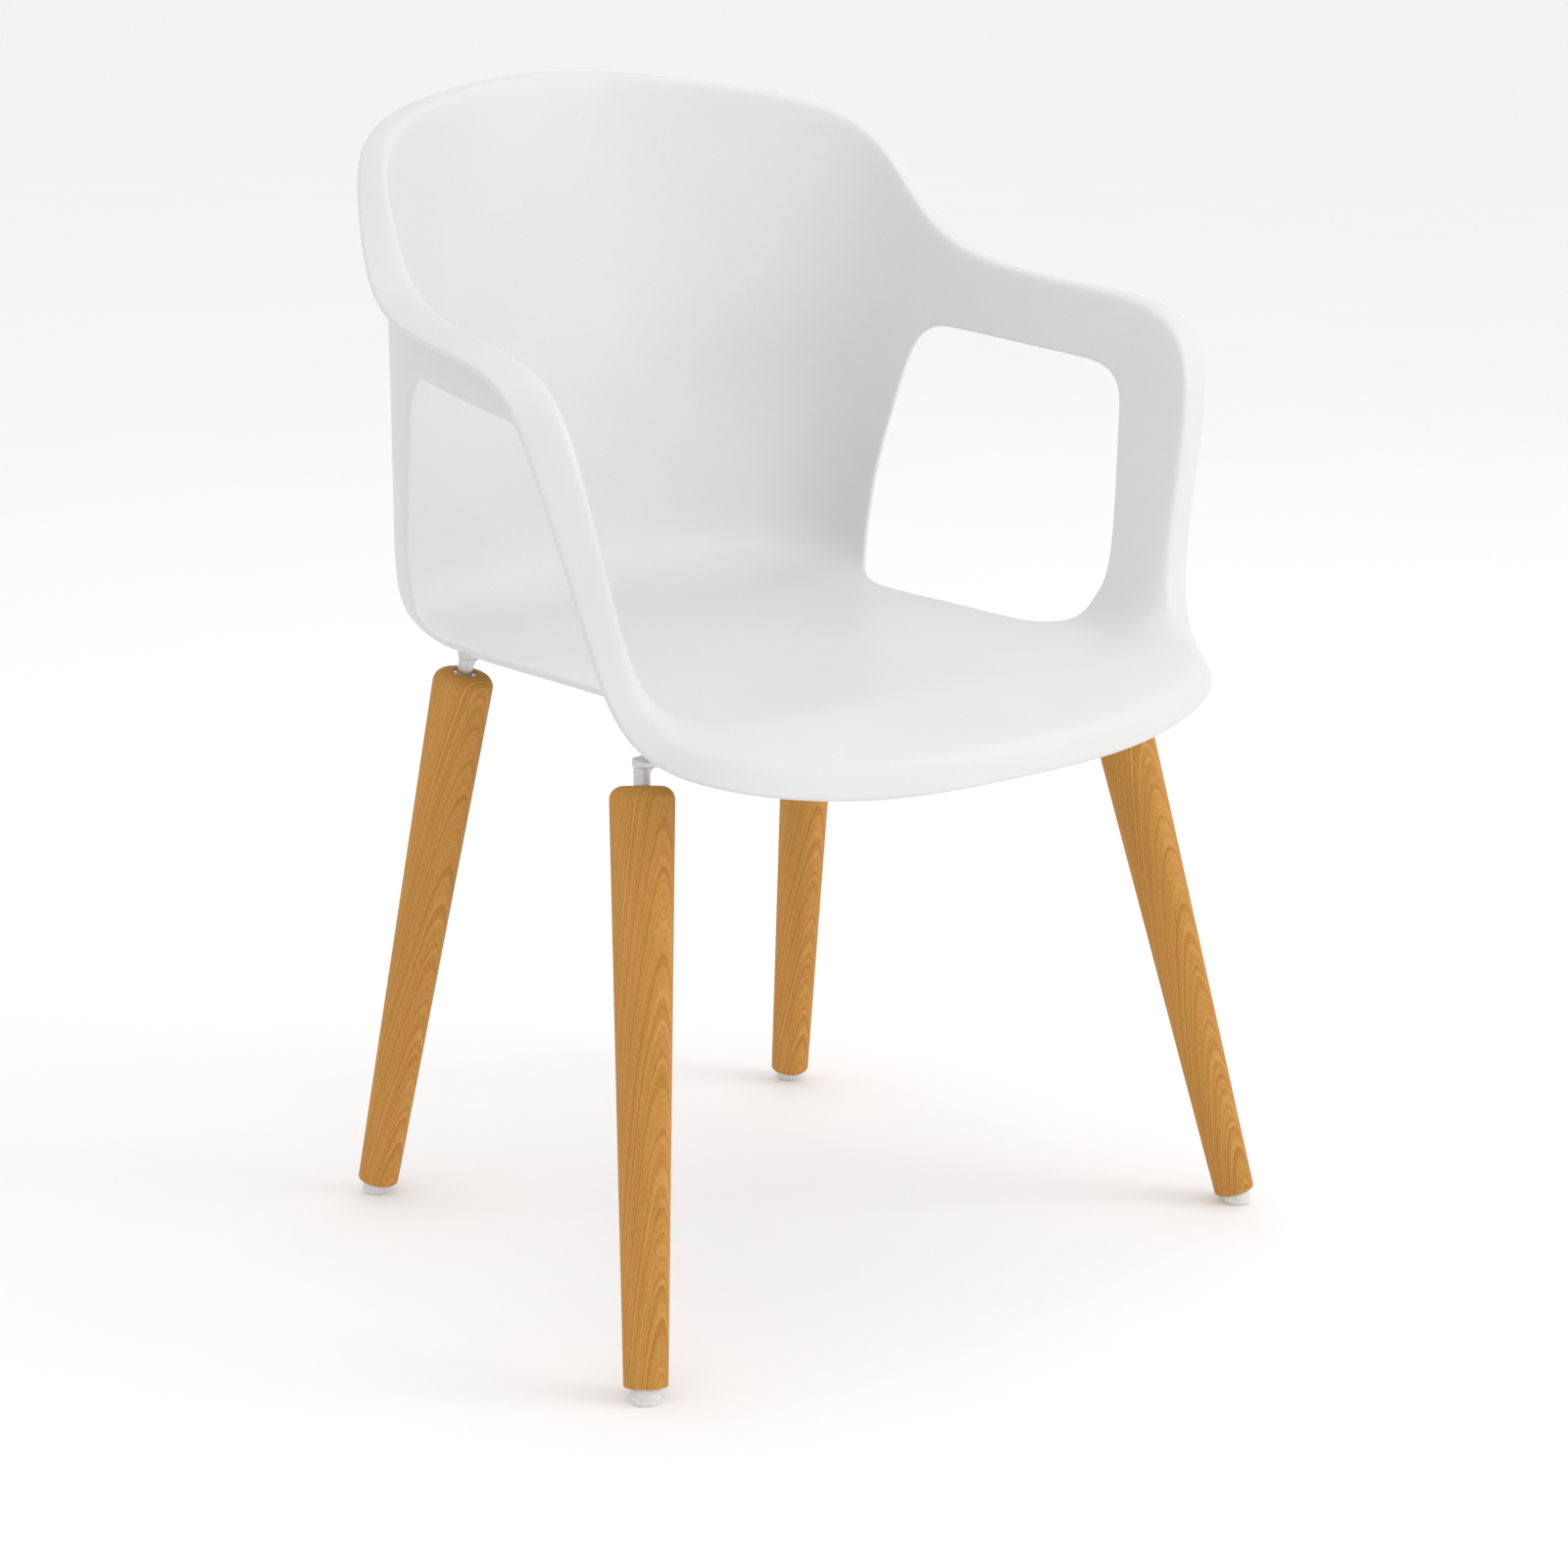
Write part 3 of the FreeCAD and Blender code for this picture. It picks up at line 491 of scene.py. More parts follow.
def shell_skin():
    """The whole moulding: sitter's face and hidden face on one grid of (u, v), and rounded edges between.

    The sitter's face is the spline surface, the hidden face lies WALL behind it along its normals. Between
    the grid and each window's setback line the rings blend in (u, v).
    """
    skin = Skin()
    columns = np.arange(STATION_COUNT * COLUMNS_PER_STATION + 1) / COLUMNS_PER_STATION
    rows = np.concatenate([np.linspace(0, CENTRE_END, CENTRE_ROWS + 1)[:-1],
                           np.linspace(CENTRE_END, WALL_END, WALL_ROWS + 1)])
    low, high = CENTRE_ROWS, len(rows) - 1
    first, last = (int(station * COLUMNS_PER_STATION) for station in WINDOW_BLOCK)
    spans = [(first, last), (len(columns) - 1 - last, len(columns) - 1 - first)]
    strips = holed_grid(columns, rows, (spans, low, high))
    around = columns[:-1]
    edge = np.stack([around, np.ones(len(around))], 1)
    _, along_u, along_v, normal = shell_face(edge)
    way = unit(np.cross(unit(along_u), normal))
    way *= np.sign(np.sum(way * along_v, -1, keepdims=True))
    back = edge - step_on_face(edge, way, EDGE_ROUND)
    skin.grid(edge_strip(edge, back, way), loop=True)
    start = np.stack([around, np.full(len(around), rows[-1])], 1)
    flange = between(start, back, FLANGE_ROWS, 1.0)
    for depth, flip in ((0, False), (WALL, True)):
        for strip in strips:
            if len(strip) > 1:
                skin.grid(shell_layer(strip, depth), flip=flip)
        skin.grid(shell_layer(flange, depth), loop=True, flip=flip)
    for mirror in (False, True):
        border = frame_of(columns[first:last + 1], rows[low:high + 1])
        loop = window_loop(border, np.array(WINDOW_CENTRE))
        if mirror:
            border, loop = ((line * (-1, 1) + (STATION_COUNT, 0))[::-1] for line in (border, loop))
        strip, back = hole_edge(loop, 1)
        middle = shell_face(loop.mean(0, keepdims=True))[0]
        if np.sum((middle - strip[0].mean(0)) * (strip[3] - strip[0])) < 0:
            strip, back = hole_edge(loop, -1)
        skin.grid(strip, loop=True)
        rings = between(back, border, WINDOW_RINGS)
        for depth, flip in ((0, False), (WALL, True)):
            skin.grid(shell_layer(rings, depth), loop=True, flip=flip)
    return skin


def height_over(x, y):
    """Height of the sitter's face over (x, y), from the nearest of many points of the seat."""
    grid = np.stack(np.meshgrid(np.arange(0, STATION_COUNT, 0.05), np.linspace(0.01, 0.42, 160)), -1)
    points = shell_face(grid.reshape(-1, 2))[0]
    return points[np.argmin((points[:, 0] - x) ** 2 + (points[:, 1] - y) ** 2), 2]


def add_boss(skin, line, x, y):
    """Boss under the seat with its insert's pocket, and four gusset ribs that widen towards the seat.

    The boss is a surface of revolution that ends BOSS_GRIP inside the wall. A rib is a flat plate in a plane
    through the boss's axis, from the axis out to RIB_REACH past the boss.
    """
    ceiling = height_over(x, y) - WALL + BOSS_GRIP
    radius, pocket = BOSS_D / 2, INSERT_D / 2
    tall = ceiling - line.bar_top
    eased = 0.3 * BOSS_ROUND
    profile = [(0, POCKET_DEPTH), (pocket, POCKET_DEPTH), (pocket, POCKET_CHAMFER),
               (pocket + POCKET_CHAMFER, 0), (radius - BOSS_ROUND, 0), (radius - eased, eased),
               (radius, BOSS_ROUND), (radius, tall), (0, tall)]
    base = np.array([x, y, line.bar_top])
    skin.grid(turned(profile, base, np.array([0, 0, 1.0]), np.array([1.0, 0, 0]), 48), loop=True)
    for turn in range(4):
        angle = math.radians(45 + 90 * turn)
        way = np.array([math.cos(angle), math.sin(angle), 0])
        across = np.array([-way[1], way[0], 0]) * RIB_THICKNESS / 2
        far = base + way * (radius + RIB_REACH)
        top = height_over(far[0], far[1]) - WALL + BOSS_GRIP - line.bar_top
        low = [(1, RIB_START), (radius, RIB_START), (radius + RIB_REACH, top - BOSS_GRIP)]
        high = [(1, tall), (radius, tall), (radius + RIB_REACH, top)]
        rows = [[base + way * r + np.array([0, 0, z]) + side * across for r, z in edge]
                for edge, side in ((low, -1), (high, -1), (high, 1), (low, 1), (low, -1))]
        skin.grid(np.array(rows))
        for index in (0, 2):
            ends = np.array([[rows[0][index], rows[1][index]], [rows[3][index], rows[2][index]]])
            skin.grid(ends, flip=index == 0)


# ------------------------------------------------------------------ crossbars
def bar_half_width(x, end):
    """Half the bar's width at a distance from its middle: straight, then narrowing over BAR_TAPER.

    The narrowing is linear in the share of the taper, eased in by a parabola over its first 8 %.
    """
    share = np.clip((np.abs(x) - (end - BAR_TAPER)) / BAR_TAPER, 0, 1)
    wide, narrow = BAR_WIDTH / 2, BAR_END_WIDTH / 2
    soft = np.where(share < 0.08, share ** 2 / 0.16, share - 0.04) / 0.96
    return wide + (narrow - wide) * soft


def bar_plan(columns, rows, end, inset):
    """Maps (c, t) to the bar's plan: c along the bar and on round its corner, t from -1 to 1 across it.

    Up to reach, x is c and y is t times the half width. Past it, with a the turn into the corner's quarter
    circle of radius r, x is reach + r sin a and y is t * (the corner's centre + r cos a).
    """
    reach = end - BAR_END_ROUND
    turn = np.clip(np.abs(columns) - reach, 0, 1) * np.pi / 2
    round_off = BAR_END_ROUND - inset
    far = np.abs(columns)
    x = np.sign(columns) * np.where(far < reach, far, reach + round_off * np.sin(turn))
    corner = bar_half_width(reach, end) - BAR_END_ROUND
    half = np.where(far <= reach, bar_half_width(x, end) - inset, corner + round_off * np.cos(turn))
    return np.stack([x, rows * half], -1)


def crossbar_skin(lines):
    """Flat bar with rounded edges and three screw holes, and a post under each end with its weld.

    Top and bottom are the plan at the bar's two heights. The edge carries the plan's outline down a quarter
    circle, the straight side and a second quarter circle.
    """
    line = lines[1]
    y, end = line.joint[1], line.joint[0] + BAR_END_WIDTH / 2
    reach = end - BAR_END_ROUND
    skin = Skin()
    stretch = []
    spots = (-SIDE_SCREW_X, 0.0, SIDE_SCREW_X)
    stops = [-reach] + [spot + side * HOLE_BLOCK for spot in spots for side in (-1, 1)] + [reach]
    marks = []
    for first, last in zip(stops, stops[1:]):
        marks.append(len(stretch))
        count = max(2, int(round((last - first) / BAR_GRID)))
        stretch += list(np.linspace(first, last, count + 1)[:-1])
    corner = np.linspace(0, 1, 6)[1:]
    columns = np.concatenate([-reach - corner[::-1], stretch, [reach], reach + corner])
    marks = [mark + len(corner) for mark in marks[1:]]
    rows = np.linspace(-1, 1, BAR_ROWS + 1)
    low, high = 2, BAR_ROWS - 2
    spans = list(zip(marks[::2], marks[1::2]))
    loops = []
    for height, flip in ((line.bar_top, False), (line.bar_low, True)):
        def place(grid):
            """(c, t) on the bar's face at this height."""
            plan = bar_plan(grid[..., 0], grid[..., 1], end, BAR_EDGE)
            return np.concatenate([plan + (0, y), np.full(plan[..., :1].shape, height)], -1)

        for strip in holed_grid(columns, rows, (spans, low, high)):
            skin.grid(place(strip), flip=flip)
        for spot, (first, last) in zip(spots, spans):
            border = place(frame_of(columns[first:last + 1], rows[low:high + 1]))
            centre = np.array([spot, y, height])
            hole = centre + unit(border - centre) * SCREW_HOLE_D / 2
            skin.grid(between(hole, border, 4, 1.0), loop=True, flip=flip)
            loops.append(hole)
    for top, bottom in zip(loops[:3], loops[3:]):
        skin.grid(np.array([top, bottom]), loop=True)
    border = frame_of(columns, rows)
    turn = np.radians([0, 30, 60, 90])
    profile = [(BAR_EDGE * (1 - math.sin(a)), -BAR_EDGE * (1 - math.cos(a))) for a in turn]
    profile += [(inset, -BAR_THICKNESS - drop) for inset, drop in profile[::-1]]
    rings = []
    for inset, drop in profile:
        plan = bar_plan(border[:, 0], border[:, 1], end, inset)
        rings.append(np.column_stack([plan + (0, y), np.full(len(plan), line.bar_top + drop)]))
    skin.grid(np.array(rings), loop=True)
    for line in lines.values():
        add_post(skin, line)
    return skin


def add_post(skin, line):
    """Round post along the leg's axis with a rounded tip, and the weld that flares out under the bar.

    The weld is a quarter of an ellipse at each angle round the post: WELD high, and as wide as WELD and the
    bar allow. Its width fades out on the side away from the middle of the bar.
    """
    radius = POST_D / 2
    steps = 64
    tip = line.top - line.up * POST_IN_LEG
    length = (line.bar_low + BAR_THICKNESS / 2 - tip[2]) / line.up[2]
    end = radius - POST_TIP_ROUND
    profile = [(0, 0), (end, 0)]
    profile += [(end + POST_TIP_ROUND * math.sin(a), POST_TIP_ROUND * (1 - math.cos(a)))
                for a in (0.5, 1.05, 1.57)]
    profile += [(radius, height) for height in np.linspace(2 * POST_TIP_ROUND, length, 8)] + [(0, length)]
    skin.grid(turned(profile, tip, line.up, line.back, steps), loop=True)
    angle = np.arange(steps) * 2 * np.pi / steps
    way = np.cos(angle)[:, None] * line.back + np.sin(angle)[:, None] * np.cross(line.up, line.back)
    room = (BAR_END_WIDTH / 2 - 0.1) / np.maximum(np.abs(way[:, 1]), 1e-3) - radius
    inward = -np.sign(line.joint[0]) * way[:, 0]
    spread = np.clip(np.minimum(WELD, room) * np.clip(inward * 4, 0, 1), WELD_LEAST, WELD)
    rings = []
    for turn in np.linspace(0, np.pi / 2, 7):
        reach = radius + spread * (1 - np.cos(turn))
        drop = WELD * (1 - np.sin(turn))
        flat = line.joint + way * reach[:, None]
        rise = (line.bar_low - drop - flat[:, 2]) / line.up[2]
        rings.append(flat + rise[:, None] * line.up)
    # the weld closes inside the bar and the post
    rings.append(rings[-1] + (0, 0, 0.8))
    rings.append(line.joint + (rings[-1] - line.joint) * (0.3, 0.3, 1))
    rings.append(rings[0] - way)
    skin.grid(np.array(rings + rings[:1]), loop=True)


# ------------------------------------------------------------------ legs and glides
def leg_radius(height, length):
    """Straight taper: half of foot diameter + (top diameter - foot diameter) * height / length."""
    return (LEG_FOOT_D + (LEG_TOP_D - LEG_FOOT_D) * height / length) / 2


def leg_skin(line):
    """Turned leg: taper with rounded shoulder and foot, bores at both ends, and a hole for the set screw.

    Ends and bores are one profile turned round the axis. The taper is a grid of (angle, height) with a block
    left out for the set screw's hole, and rings blend from that block to a circle on the taper.
    """
    skin = Skin()
    length = line.length
    steps = 96
    slope = np.array([(LEG_TOP_D - LEG_FOOT_D) / 2, length])
    foot = fillet((LEG_FOOT_D / 2, 0), (-1, 0), slope, LEG_FOOT_ROUND, 4)
    top = fillet((LEG_TOP_D / 2, length), -slope, (-1, 0), LEG_SHOULDER, 12)
    pilot, stem, sleeve, bore = (size / 2 for size in (GLIDE_SCREW_D, GLIDE_BORE_D, SLEEVE_D, POST_BORE_D))
    below = [(0, GLIDE_SCREW_DEPTH), (pilot, GLIDE_SCREW_DEPTH), (pilot, GLIDE_BORE_DEPTH),
             (stem, GLIDE_BORE_DEPTH), (stem, STEM_CHAMFER), (stem + STEM_CHAMFER, 0)]
    above = [(sleeve + SLEEVE_CHAMFER, length), (sleeve, length - SLEEVE_CHAMFER),
             (sleeve, length - SLEEVE_DEPTH), (bore, length - SLEEVE_DEPTH),
             (bore, length - POST_BORE_DEPTH), (0, length - POST_BORE_DEPTH)]
    skin.grid(turned(below + list(foot), line.wood_start, line.up, line.back, steps), loop=True)
    skin.grid(turned(list(top) + above, line.wood_start, line.up, line.back, steps), loop=True)
    hole_height = length - LOCK_DEPTH
    low, high, half_span = 44, 54, 7
    rows = np.concatenate([np.linspace(foot[-1][1], hole_height - LOCK_BLOCK, low + 1)[:-1],
                           np.linspace(hole_height - LOCK_BLOCK, top[0][1], 12)])
    columns = np.linspace(-np.pi, np.pi, steps + 1)
    span = (steps // 2 - half_span, steps // 2 + half_span)
    rightwards = np.cross(line.up, line.back)

    def wood(grid):
        """(angle, height) on the taper's surface; angle 0 looks towards the back of the chair."""
        way = np.cos(grid[..., :1]) * line.back + np.sin(grid[..., :1]) * rightwards
        return line.wood_start + grid[..., 1:] * line.up + way * leg_radius(grid[..., 1:], length)

    for strip in holed_grid(columns, rows, ([span], low, high)):
        if len(strip) > 1:
            skin.grid(wood(strip))
    border = frame_of(columns[span[0]:span[1] + 1], rows[low:high + 1])
    scale = np.array([leg_radius(hole_height, length), 1])
    centre = np.array([0, hole_height])
    rim = centre + unit((border - centre) * scale) * (LOCK_HOLE_D / 2 + LOCK_CHAMFER) / scale
    skin.grid(wood(between(rim, border, 5)), loop=True)
    flat = unit((rim - centre) * scale) * LOCK_HOLE_D / 2
    axis_point = line.wood_start + hole_height * line.up
    bottom = sleeve + 0.3
    tube = []
    for out in (leg_radius(hole_height, length) - 1.5 * LOCK_CHAMFER, bottom):
        depth = np.sqrt(np.maximum(out ** 2 - flat[:, :1] ** 2, 0))
        tube.append(axis_point + depth * line.back + flat[:, :1] * rightwards + flat[:, 1:] * line.up)
    tube.append(axis_point + bottom * line.back + np.zeros_like(tube[-1]))
    skin.grid(np.array([wood(rim)] + tube), loop=True)
    return skin


def glide_skin(line):
    """Plastic foot in line with the leg: rounded rim, stem, screw hole and recess, cut level by the floor.

    One closed profile is carried round the leg's axis. Rings near the floor lie level instead of square to
    the axis: a point moves along the axis until it reaches its height.
    """
    skin = Skin()
    radius, stem = GLIDE_D / 2, GLIDE_STEM_D / 2
    recess, hole = GLIDE_HEAD_D / 2, GLIDE_SCREW_HOLE_D / 2
    stem_top = GLIDE_HEIGHT + GLIDE_BORE_DEPTH
    steps = 72
    angle = np.arange(steps) * 2 * np.pi / steps
    way = np.cos(angle)[:, None] * line.back + np.sin(angle)[:, None] * np.cross(line.up, line.back)

    def ring(reach, height):
        """Ring of a radius along the leg's axis, cut level at a height above the floor."""
        start = line.foot + way * reach
        return start + ((height - start[:, 2]) / line.up[2])[:, None] * line.up

    def flat_ring(reach, along):
        """Ring square to the leg's axis."""
        return line.foot + line.up * along + way * reach

    rings = [flat_ring(hole, GLIDE_HEAD_DEPTH), flat_ring(recess, GLIDE_HEAD_DEPTH),
             ring(recess, RECESS_CHAMFER), ring(recess + RECESS_CHAMFER, 0)]
    for turn in np.radians([0, 22.5, 45, 67.5, 90]):
        rings.append(ring(radius - GLIDE_ROUND * (1 - math.sin(turn)), GLIDE_ROUND * (1 - math.cos(turn))))
    eased = 0.3 * GLIDE_EDGE
    rings += [flat_ring(radius, GLIDE_HEIGHT - GLIDE_EDGE), flat_ring(radius - eased, GLIDE_HEIGHT - eased),
              flat_ring(radius - GLIDE_EDGE, GLIDE_HEIGHT), flat_ring(stem, GLIDE_HEIGHT),
              flat_ring(stem, stem_top), flat_ring(hole, stem_top)]
    skin.grid(np.array(rings + rings[:1]), loop=True)
    return skin


def glide_screw_skin(lines):
    """Slotted wood screw in each glide: a turned body, and the end of its head as halves beside the slot.

    A half at height h is the part of a disc beyond the slot's wall. The disc's radius is the head's, less
    round * (1 - sin a) where h is round * (1 - cos a).
    """
    skin = Skin()
    head, shank, wall = GLIDE_SCREW_HEAD_D / 2, GLIDE_SCREW_D / 2, GLIDE_SCREW_SLOT / 2
    tip = GLIDE_HEIGHT + GLIDE_SCREW_DEPTH - GLIDE_SCREW_RECESS
    floor_of_slot, under = GLIDE_SCREW_SLOT_DEPTH, GLIDE_SCREW_HEAD_HEIGHT
    body = [(0, floor_of_slot), (head, floor_of_slot), (head, under), (shank, under),
            (shank, tip - 2 * GLIDE_SCREW_D), (0, tip)]
    turn = np.linspace(0, np.pi / 2, 6)
    heights = GLIDE_SCREW_HEAD_ROUND * (1 - np.cos(turn))
    radii = head - GLIDE_SCREW_HEAD_ROUND * (1 - np.sin(turn))
    levels = list(zip(heights, radii)) + [(floor_of_slot + 0.2, head - 0.2)]
    for line in lines:
        base = line.foot + line.up * GLIDE_SCREW_RECESS
        skin.grid(turned(body, base, line.up, line.side, 48), loop=True)
        for half in (-1, 1):
            rims, caps = [], []
            for height, radius in levels:
                start = math.asin(wall / radius)
                swing = np.linspace(start, np.pi - start, 25)[:, None]
                middle = base + height * line.up + radius * np.cos(swing) * line.side
                arc = middle + half * radius * np.sin(swing) * line.back
                slot = middle + half * wall * line.back
                rims.append(np.concatenate([arc, slot[-2:0:-1]]))
                caps.append(np.array([arc, slot]))
            skin.grid(np.array(rims), loop=True)
            skin.grid(caps[0])
            skin.grid(caps[-1], flip=True)
    return skin


# ------------------------------------------------------------------ finishes
class Finish:
    """A node material: new nodes by type, links by socket name, and one shader."""

    def __init__(self, name):
        self.material = bpy.data.materials.new(name)
        self.material.use_nodes = True
        self.tree = self.material.node_tree
        self.shader = self.tree.nodes["Principled BSDF"]
        self.coords = self.node("ShaderNodeTexCoord").outputs["Object"]

    def node(self, kind, **settings):
        """A new node with its settings."""
        made = self.tree.nodes.new(kind)
        for key, value in settings.items():
            setattr(made, key, value)
        return made

    def link(self, source, target):
        """A link from an output to an input."""
        self.tree.links.new(source, target)

    def mapped(self, source, scale=(1, 1, 1), rotation=(0, 0, 0), location=(0, 0, 0)):
        """The coordinates scaled, turned and moved."""
        made = self.node("ShaderNodeMapping")
        made.inputs["Scale"].default_value = scale
        made.inputs["Rotation"].default_value = rotation
        made.inputs["Location"].default_value = location
        self.link(source, made.inputs["Vector"])
        return made.outputs["Vector"]

    def noise(self, source, scale, detail=2.0, roughness=0.5):
        """Noise with scale cells to the metre."""
        made = self.node("ShaderNodeTexNoise")
        for key, value in (("Scale", scale), ("Detail", detail), ("Roughness", roughness)):
            made.inputs[key].default_value = value
        self.link(source, made.inputs["Vector"])
        return made.outputs["Fac"]

    def bands(self, distance, scale, detail, roughness):
        """Uneven bands along one distance, with scale cells to the metre."""
        made = self.node("ShaderNodeTexNoise", noise_dimensions="1D")
        for key, value in (("Scale", scale), ("Detail", detail), ("Roughness", roughness)):
            made.inputs[key].default_value = value
        self.link(distance, made.inputs["W"])
        return made.outputs["Fac"]

    def ramp(self, source, stops):
        """Colours or grey levels blended between (place, value) stops."""
        made = self.node("ShaderNodeValToRGB")
        bar = made.color_ramp
        while len(bar.elements) < len(stops):
            bar.elements.new(0.5)
        for element, (place, value) in zip(bar.elements, stops):
            element.position = place
            element.color = (*value, 1) if isinstance(value, tuple) else (value, value, value, 1)
        self.link(source, made.inputs["Fac"])
        return made.outputs["Color"]

    def mix(self, share, low, high, blend="MIX"):
        """Blend of two colours, by a fixed share or one that a texture gives."""
        made = self.node("ShaderNodeMix", data_type="RGBA", blend_type=blend)
        if isinstance(share, float):
            made.inputs[0].default_value = share
        else:
            self.link(share, made.inputs[0])
        for socket, value in ((made.inputs[6], low), (made.inputs[7], high)):
            if isinstance(value, tuple):
                socket.default_value = (*value, 1)
            else:
                self.link(value, socket)
        return made.outputs[2]

    def math(self, kind, first, second=0.0, third=None):
        """One sum of numbers or outputs."""
        made = self.node("ShaderNodeMath", operation=kind)
        for socket, value in zip(made.inputs, (first, second, third)):
            if isinstance(value, (int, float)):
                socket.default_value = value
            elif value is not None:
                self.link(value, socket)
        return made.outputs[0]

    def bump(self, height, strength, distance, below=None):
        """Relief of a height texture, over another relief where one is given."""
        made = self.node("ShaderNodeBump")
        made.inputs["Strength"].default_value = strength
        made.inputs["Distance"].default_value = distance
        self.link(height, made.inputs["Height"])
        if below is not None:
            self.link(below, made.inputs["Normal"])
        return made.outputs["Normal"]

    def set(self, **values):
        """Fixed numbers on the shader's own sockets, or textures linked into them."""
        for key, value in values.items():
            socket = self.shader.inputs[key.replace("_", " ")]
            if isinstance(value, (int, float)):
                socket.default_value = value
            elif isinstance(value, tuple):
                socket.default_value = (*value, 1)
            else:
                self.link(value, socket)
        return self.material


def shell_plastic():
    """White moulded plastic: fine spark grain, faint flow clouds, and rubbed patches that shine a little."""
    finish = Finish("shell_plastic")
    grain = finish.noise(finish.coords, 1500, 3, 0.6)
    clouds = finish.noise(finish.coords, 9, 3, 0.5)
    rubbed = finish.noise(finish.coords, 4, 4, 0.6)
    colour = finish.ramp(clouds, [(0.3, (0.690, 0.690, 0.687)), (0.7, (0.715, 0.715, 0.712))])
    speck = finish.ramp(grain, [(0.30, 0.955), (0.55, 1.0)])
    colour = finish.mix(1.0, colour, speck, "MULTIPLY")
    rough = finish.ramp(rubbed, [(0.35, 0.40), (0.65, 0.50)])
    relief = finish.bump(grain, 0.25, 0.0002)
    return finish.set(Base_Color=colour, Roughness=rough, Normal=relief, Specular_IOR_Level=0.45)


PITH_OFFSETS = (-0.006, 0.004, -0.002, 0.007)
PITH_LEANS = (0.15, 0.17, 0.14, 0.16)
PITH_AWAY = 0.052           # metres


def beech(name, line, seed):
    """Lacquered beech: growth rings cut by the taper into nested arches, fine pores and short dark rays.

    far is the distance of a point (x, y, z) of the leg from the pith, a line that stands off from the leg and
    leans away from it: sqrt((x + offset)^2 + (y + lean * z + PITH_AWAY)^2) plus a slow wander.
    """
    finish = Finish(name)
    along = Matrix((line.side, np.cross(line.up, line.side), line.up))
    origin = along @ Vector(line.wood_start * MM)
    lying = finish.mapped(finish.coords, rotation=along.to_euler(), location=tuple(-origin))
    shifted = finish.mapped(lying, location=(0.31 * seed, 0.17 * seed, 0.23 * seed))
    split = finish.node("ShaderNodeSeparateXYZ")
    finish.link(lying, split.inputs[0])
    across = finish.math("ADD", split.outputs[0], PITH_OFFSETS[seed % 4])
    lean = PITH_LEANS[seed % 4]
    away = finish.math("MULTIPLY_ADD", split.outputs[2], lean, split.outputs[1])
    away = finish.math("ADD", away, PITH_AWAY)
    square = finish.math("MULTIPLY", away, away)
    far = finish.math("SQRT", finish.math("MULTIPLY_ADD", across, across, square))
    wander = finish.noise(finish.mapped(shifted, scale=(1, 1, 0.25)), 38, 2, 0.5)
    far = finish.math("MULTIPLY_ADD", wander, 0.0035, far)
    rings = finish.bands(far, 760, 2.5, 0.6)
    late = finish.bands(far, 2100, 1.0, 0.5)
    broad = finish.noise(finish.mapped(shifted, scale=(1, 1, 0.12)), 55, 3, 0.5)
    pores = finish.noise(finish.mapped(shifted, scale=(1, 1, 0.16)), 1700, 2, 0.6)
    drawn = finish.mapped(shifted, scale=(1, 1, 0.14), location=(0.5, 0.2, 0.1))
    rays = finish.noise(drawn, 950, 1, 0.5)
    colour = finish.ramp(rings, [(0.30, (0.468, 0.221, 0.052)), (0.42, (0.522, 0.256, 0.065)),
                                 (0.55, (0.570, 0.291, 0.079)), (0.70, (0.609, 0.325, 0.099))])
    line_tone = finish.ramp(late, [(0.30, (0.86, 0.81, 0.73)), (0.42, (1.0, 1.0, 1.0))])
    colour = finish.mix(0.7, colour, finish.mix(1.0, colour, line_tone, "MULTIPLY"))
    cloud = finish.ramp(broad, [(0.3, (0.93, 0.91, 0.87)), (0.7, (1.05, 1.05, 1.04))])
    colour = finish.mix(1.0, colour, cloud, "MULTIPLY")
    pore_tone = finish.ramp(pores, [(0.33, (0.86, 0.81, 0.73)), (0.52, (1.0, 1.0, 1.0))])
    colour = finish.mix(1.0, colour, pore_tone, "MULTIPLY")
    dash = finish.ramp(rays, [(0.25, 1.0), (0.33, 0.0)])
    colour = finish.mix(finish.math("MULTIPLY", dash, 0.35), colour, (0.26, 0.105, 0.022))
    rough = finish.ramp(pores, [(0.3, 0.62), (0.6, 0.50)])
    relief = finish.bump(pores, 0.12, 0.0003)
    return finish.set(Base_Color=colour, Roughness=rough, Normal=relief, Specular_IOR_Level=0.03)


def coated_steel():
    """Light grey metallic powder coat on steel: fine orange peel, and broad clouds in tone and polish."""
    finish = Finish("frame_steel")
    peel = finish.noise(finish.coords, 900, 2, 0.5)
    clouds = finish.noise(finish.coords, 40, 3, 0.6)
    colour = finish.ramp(clouds, [(0.3, (0.57, 0.57, 0.58)), (0.7, (0.67, 0.67, 0.675))])
    rough = finish.ramp(clouds, [(0.3, 0.26), (0.7, 0.36)])
    relief = finish.bump(peel, 0.12, 0.0002)
    return finish.set(Base_Color=colour, Roughness=rough, Normal=relief, Metallic=0.85)


def plated(name, dark, light, metallic=1.0, low=0.22, high=0.38, scale=400):
    """Small turned metal pieces: cloudy plating with fine tool marks."""
    finish = Finish(name)
    clouds = finish.noise(finish.coords, scale, 3, 0.6)
    marks = finish.noise(finish.mapped(finish.coords, scale=(1, 1, 6)), 1500, 2, 0.5)
    colour = finish.ramp(clouds, [(0.3, dark), (0.7, light)])
    rough = finish.ramp(marks, [(0.3, low), (0.7, high)])
    relief = finish.bump(marks, 0.15, 0.0001)
    return finish.set(Base_Color=colour, Roughness=rough, Normal=relief, Metallic=metallic)


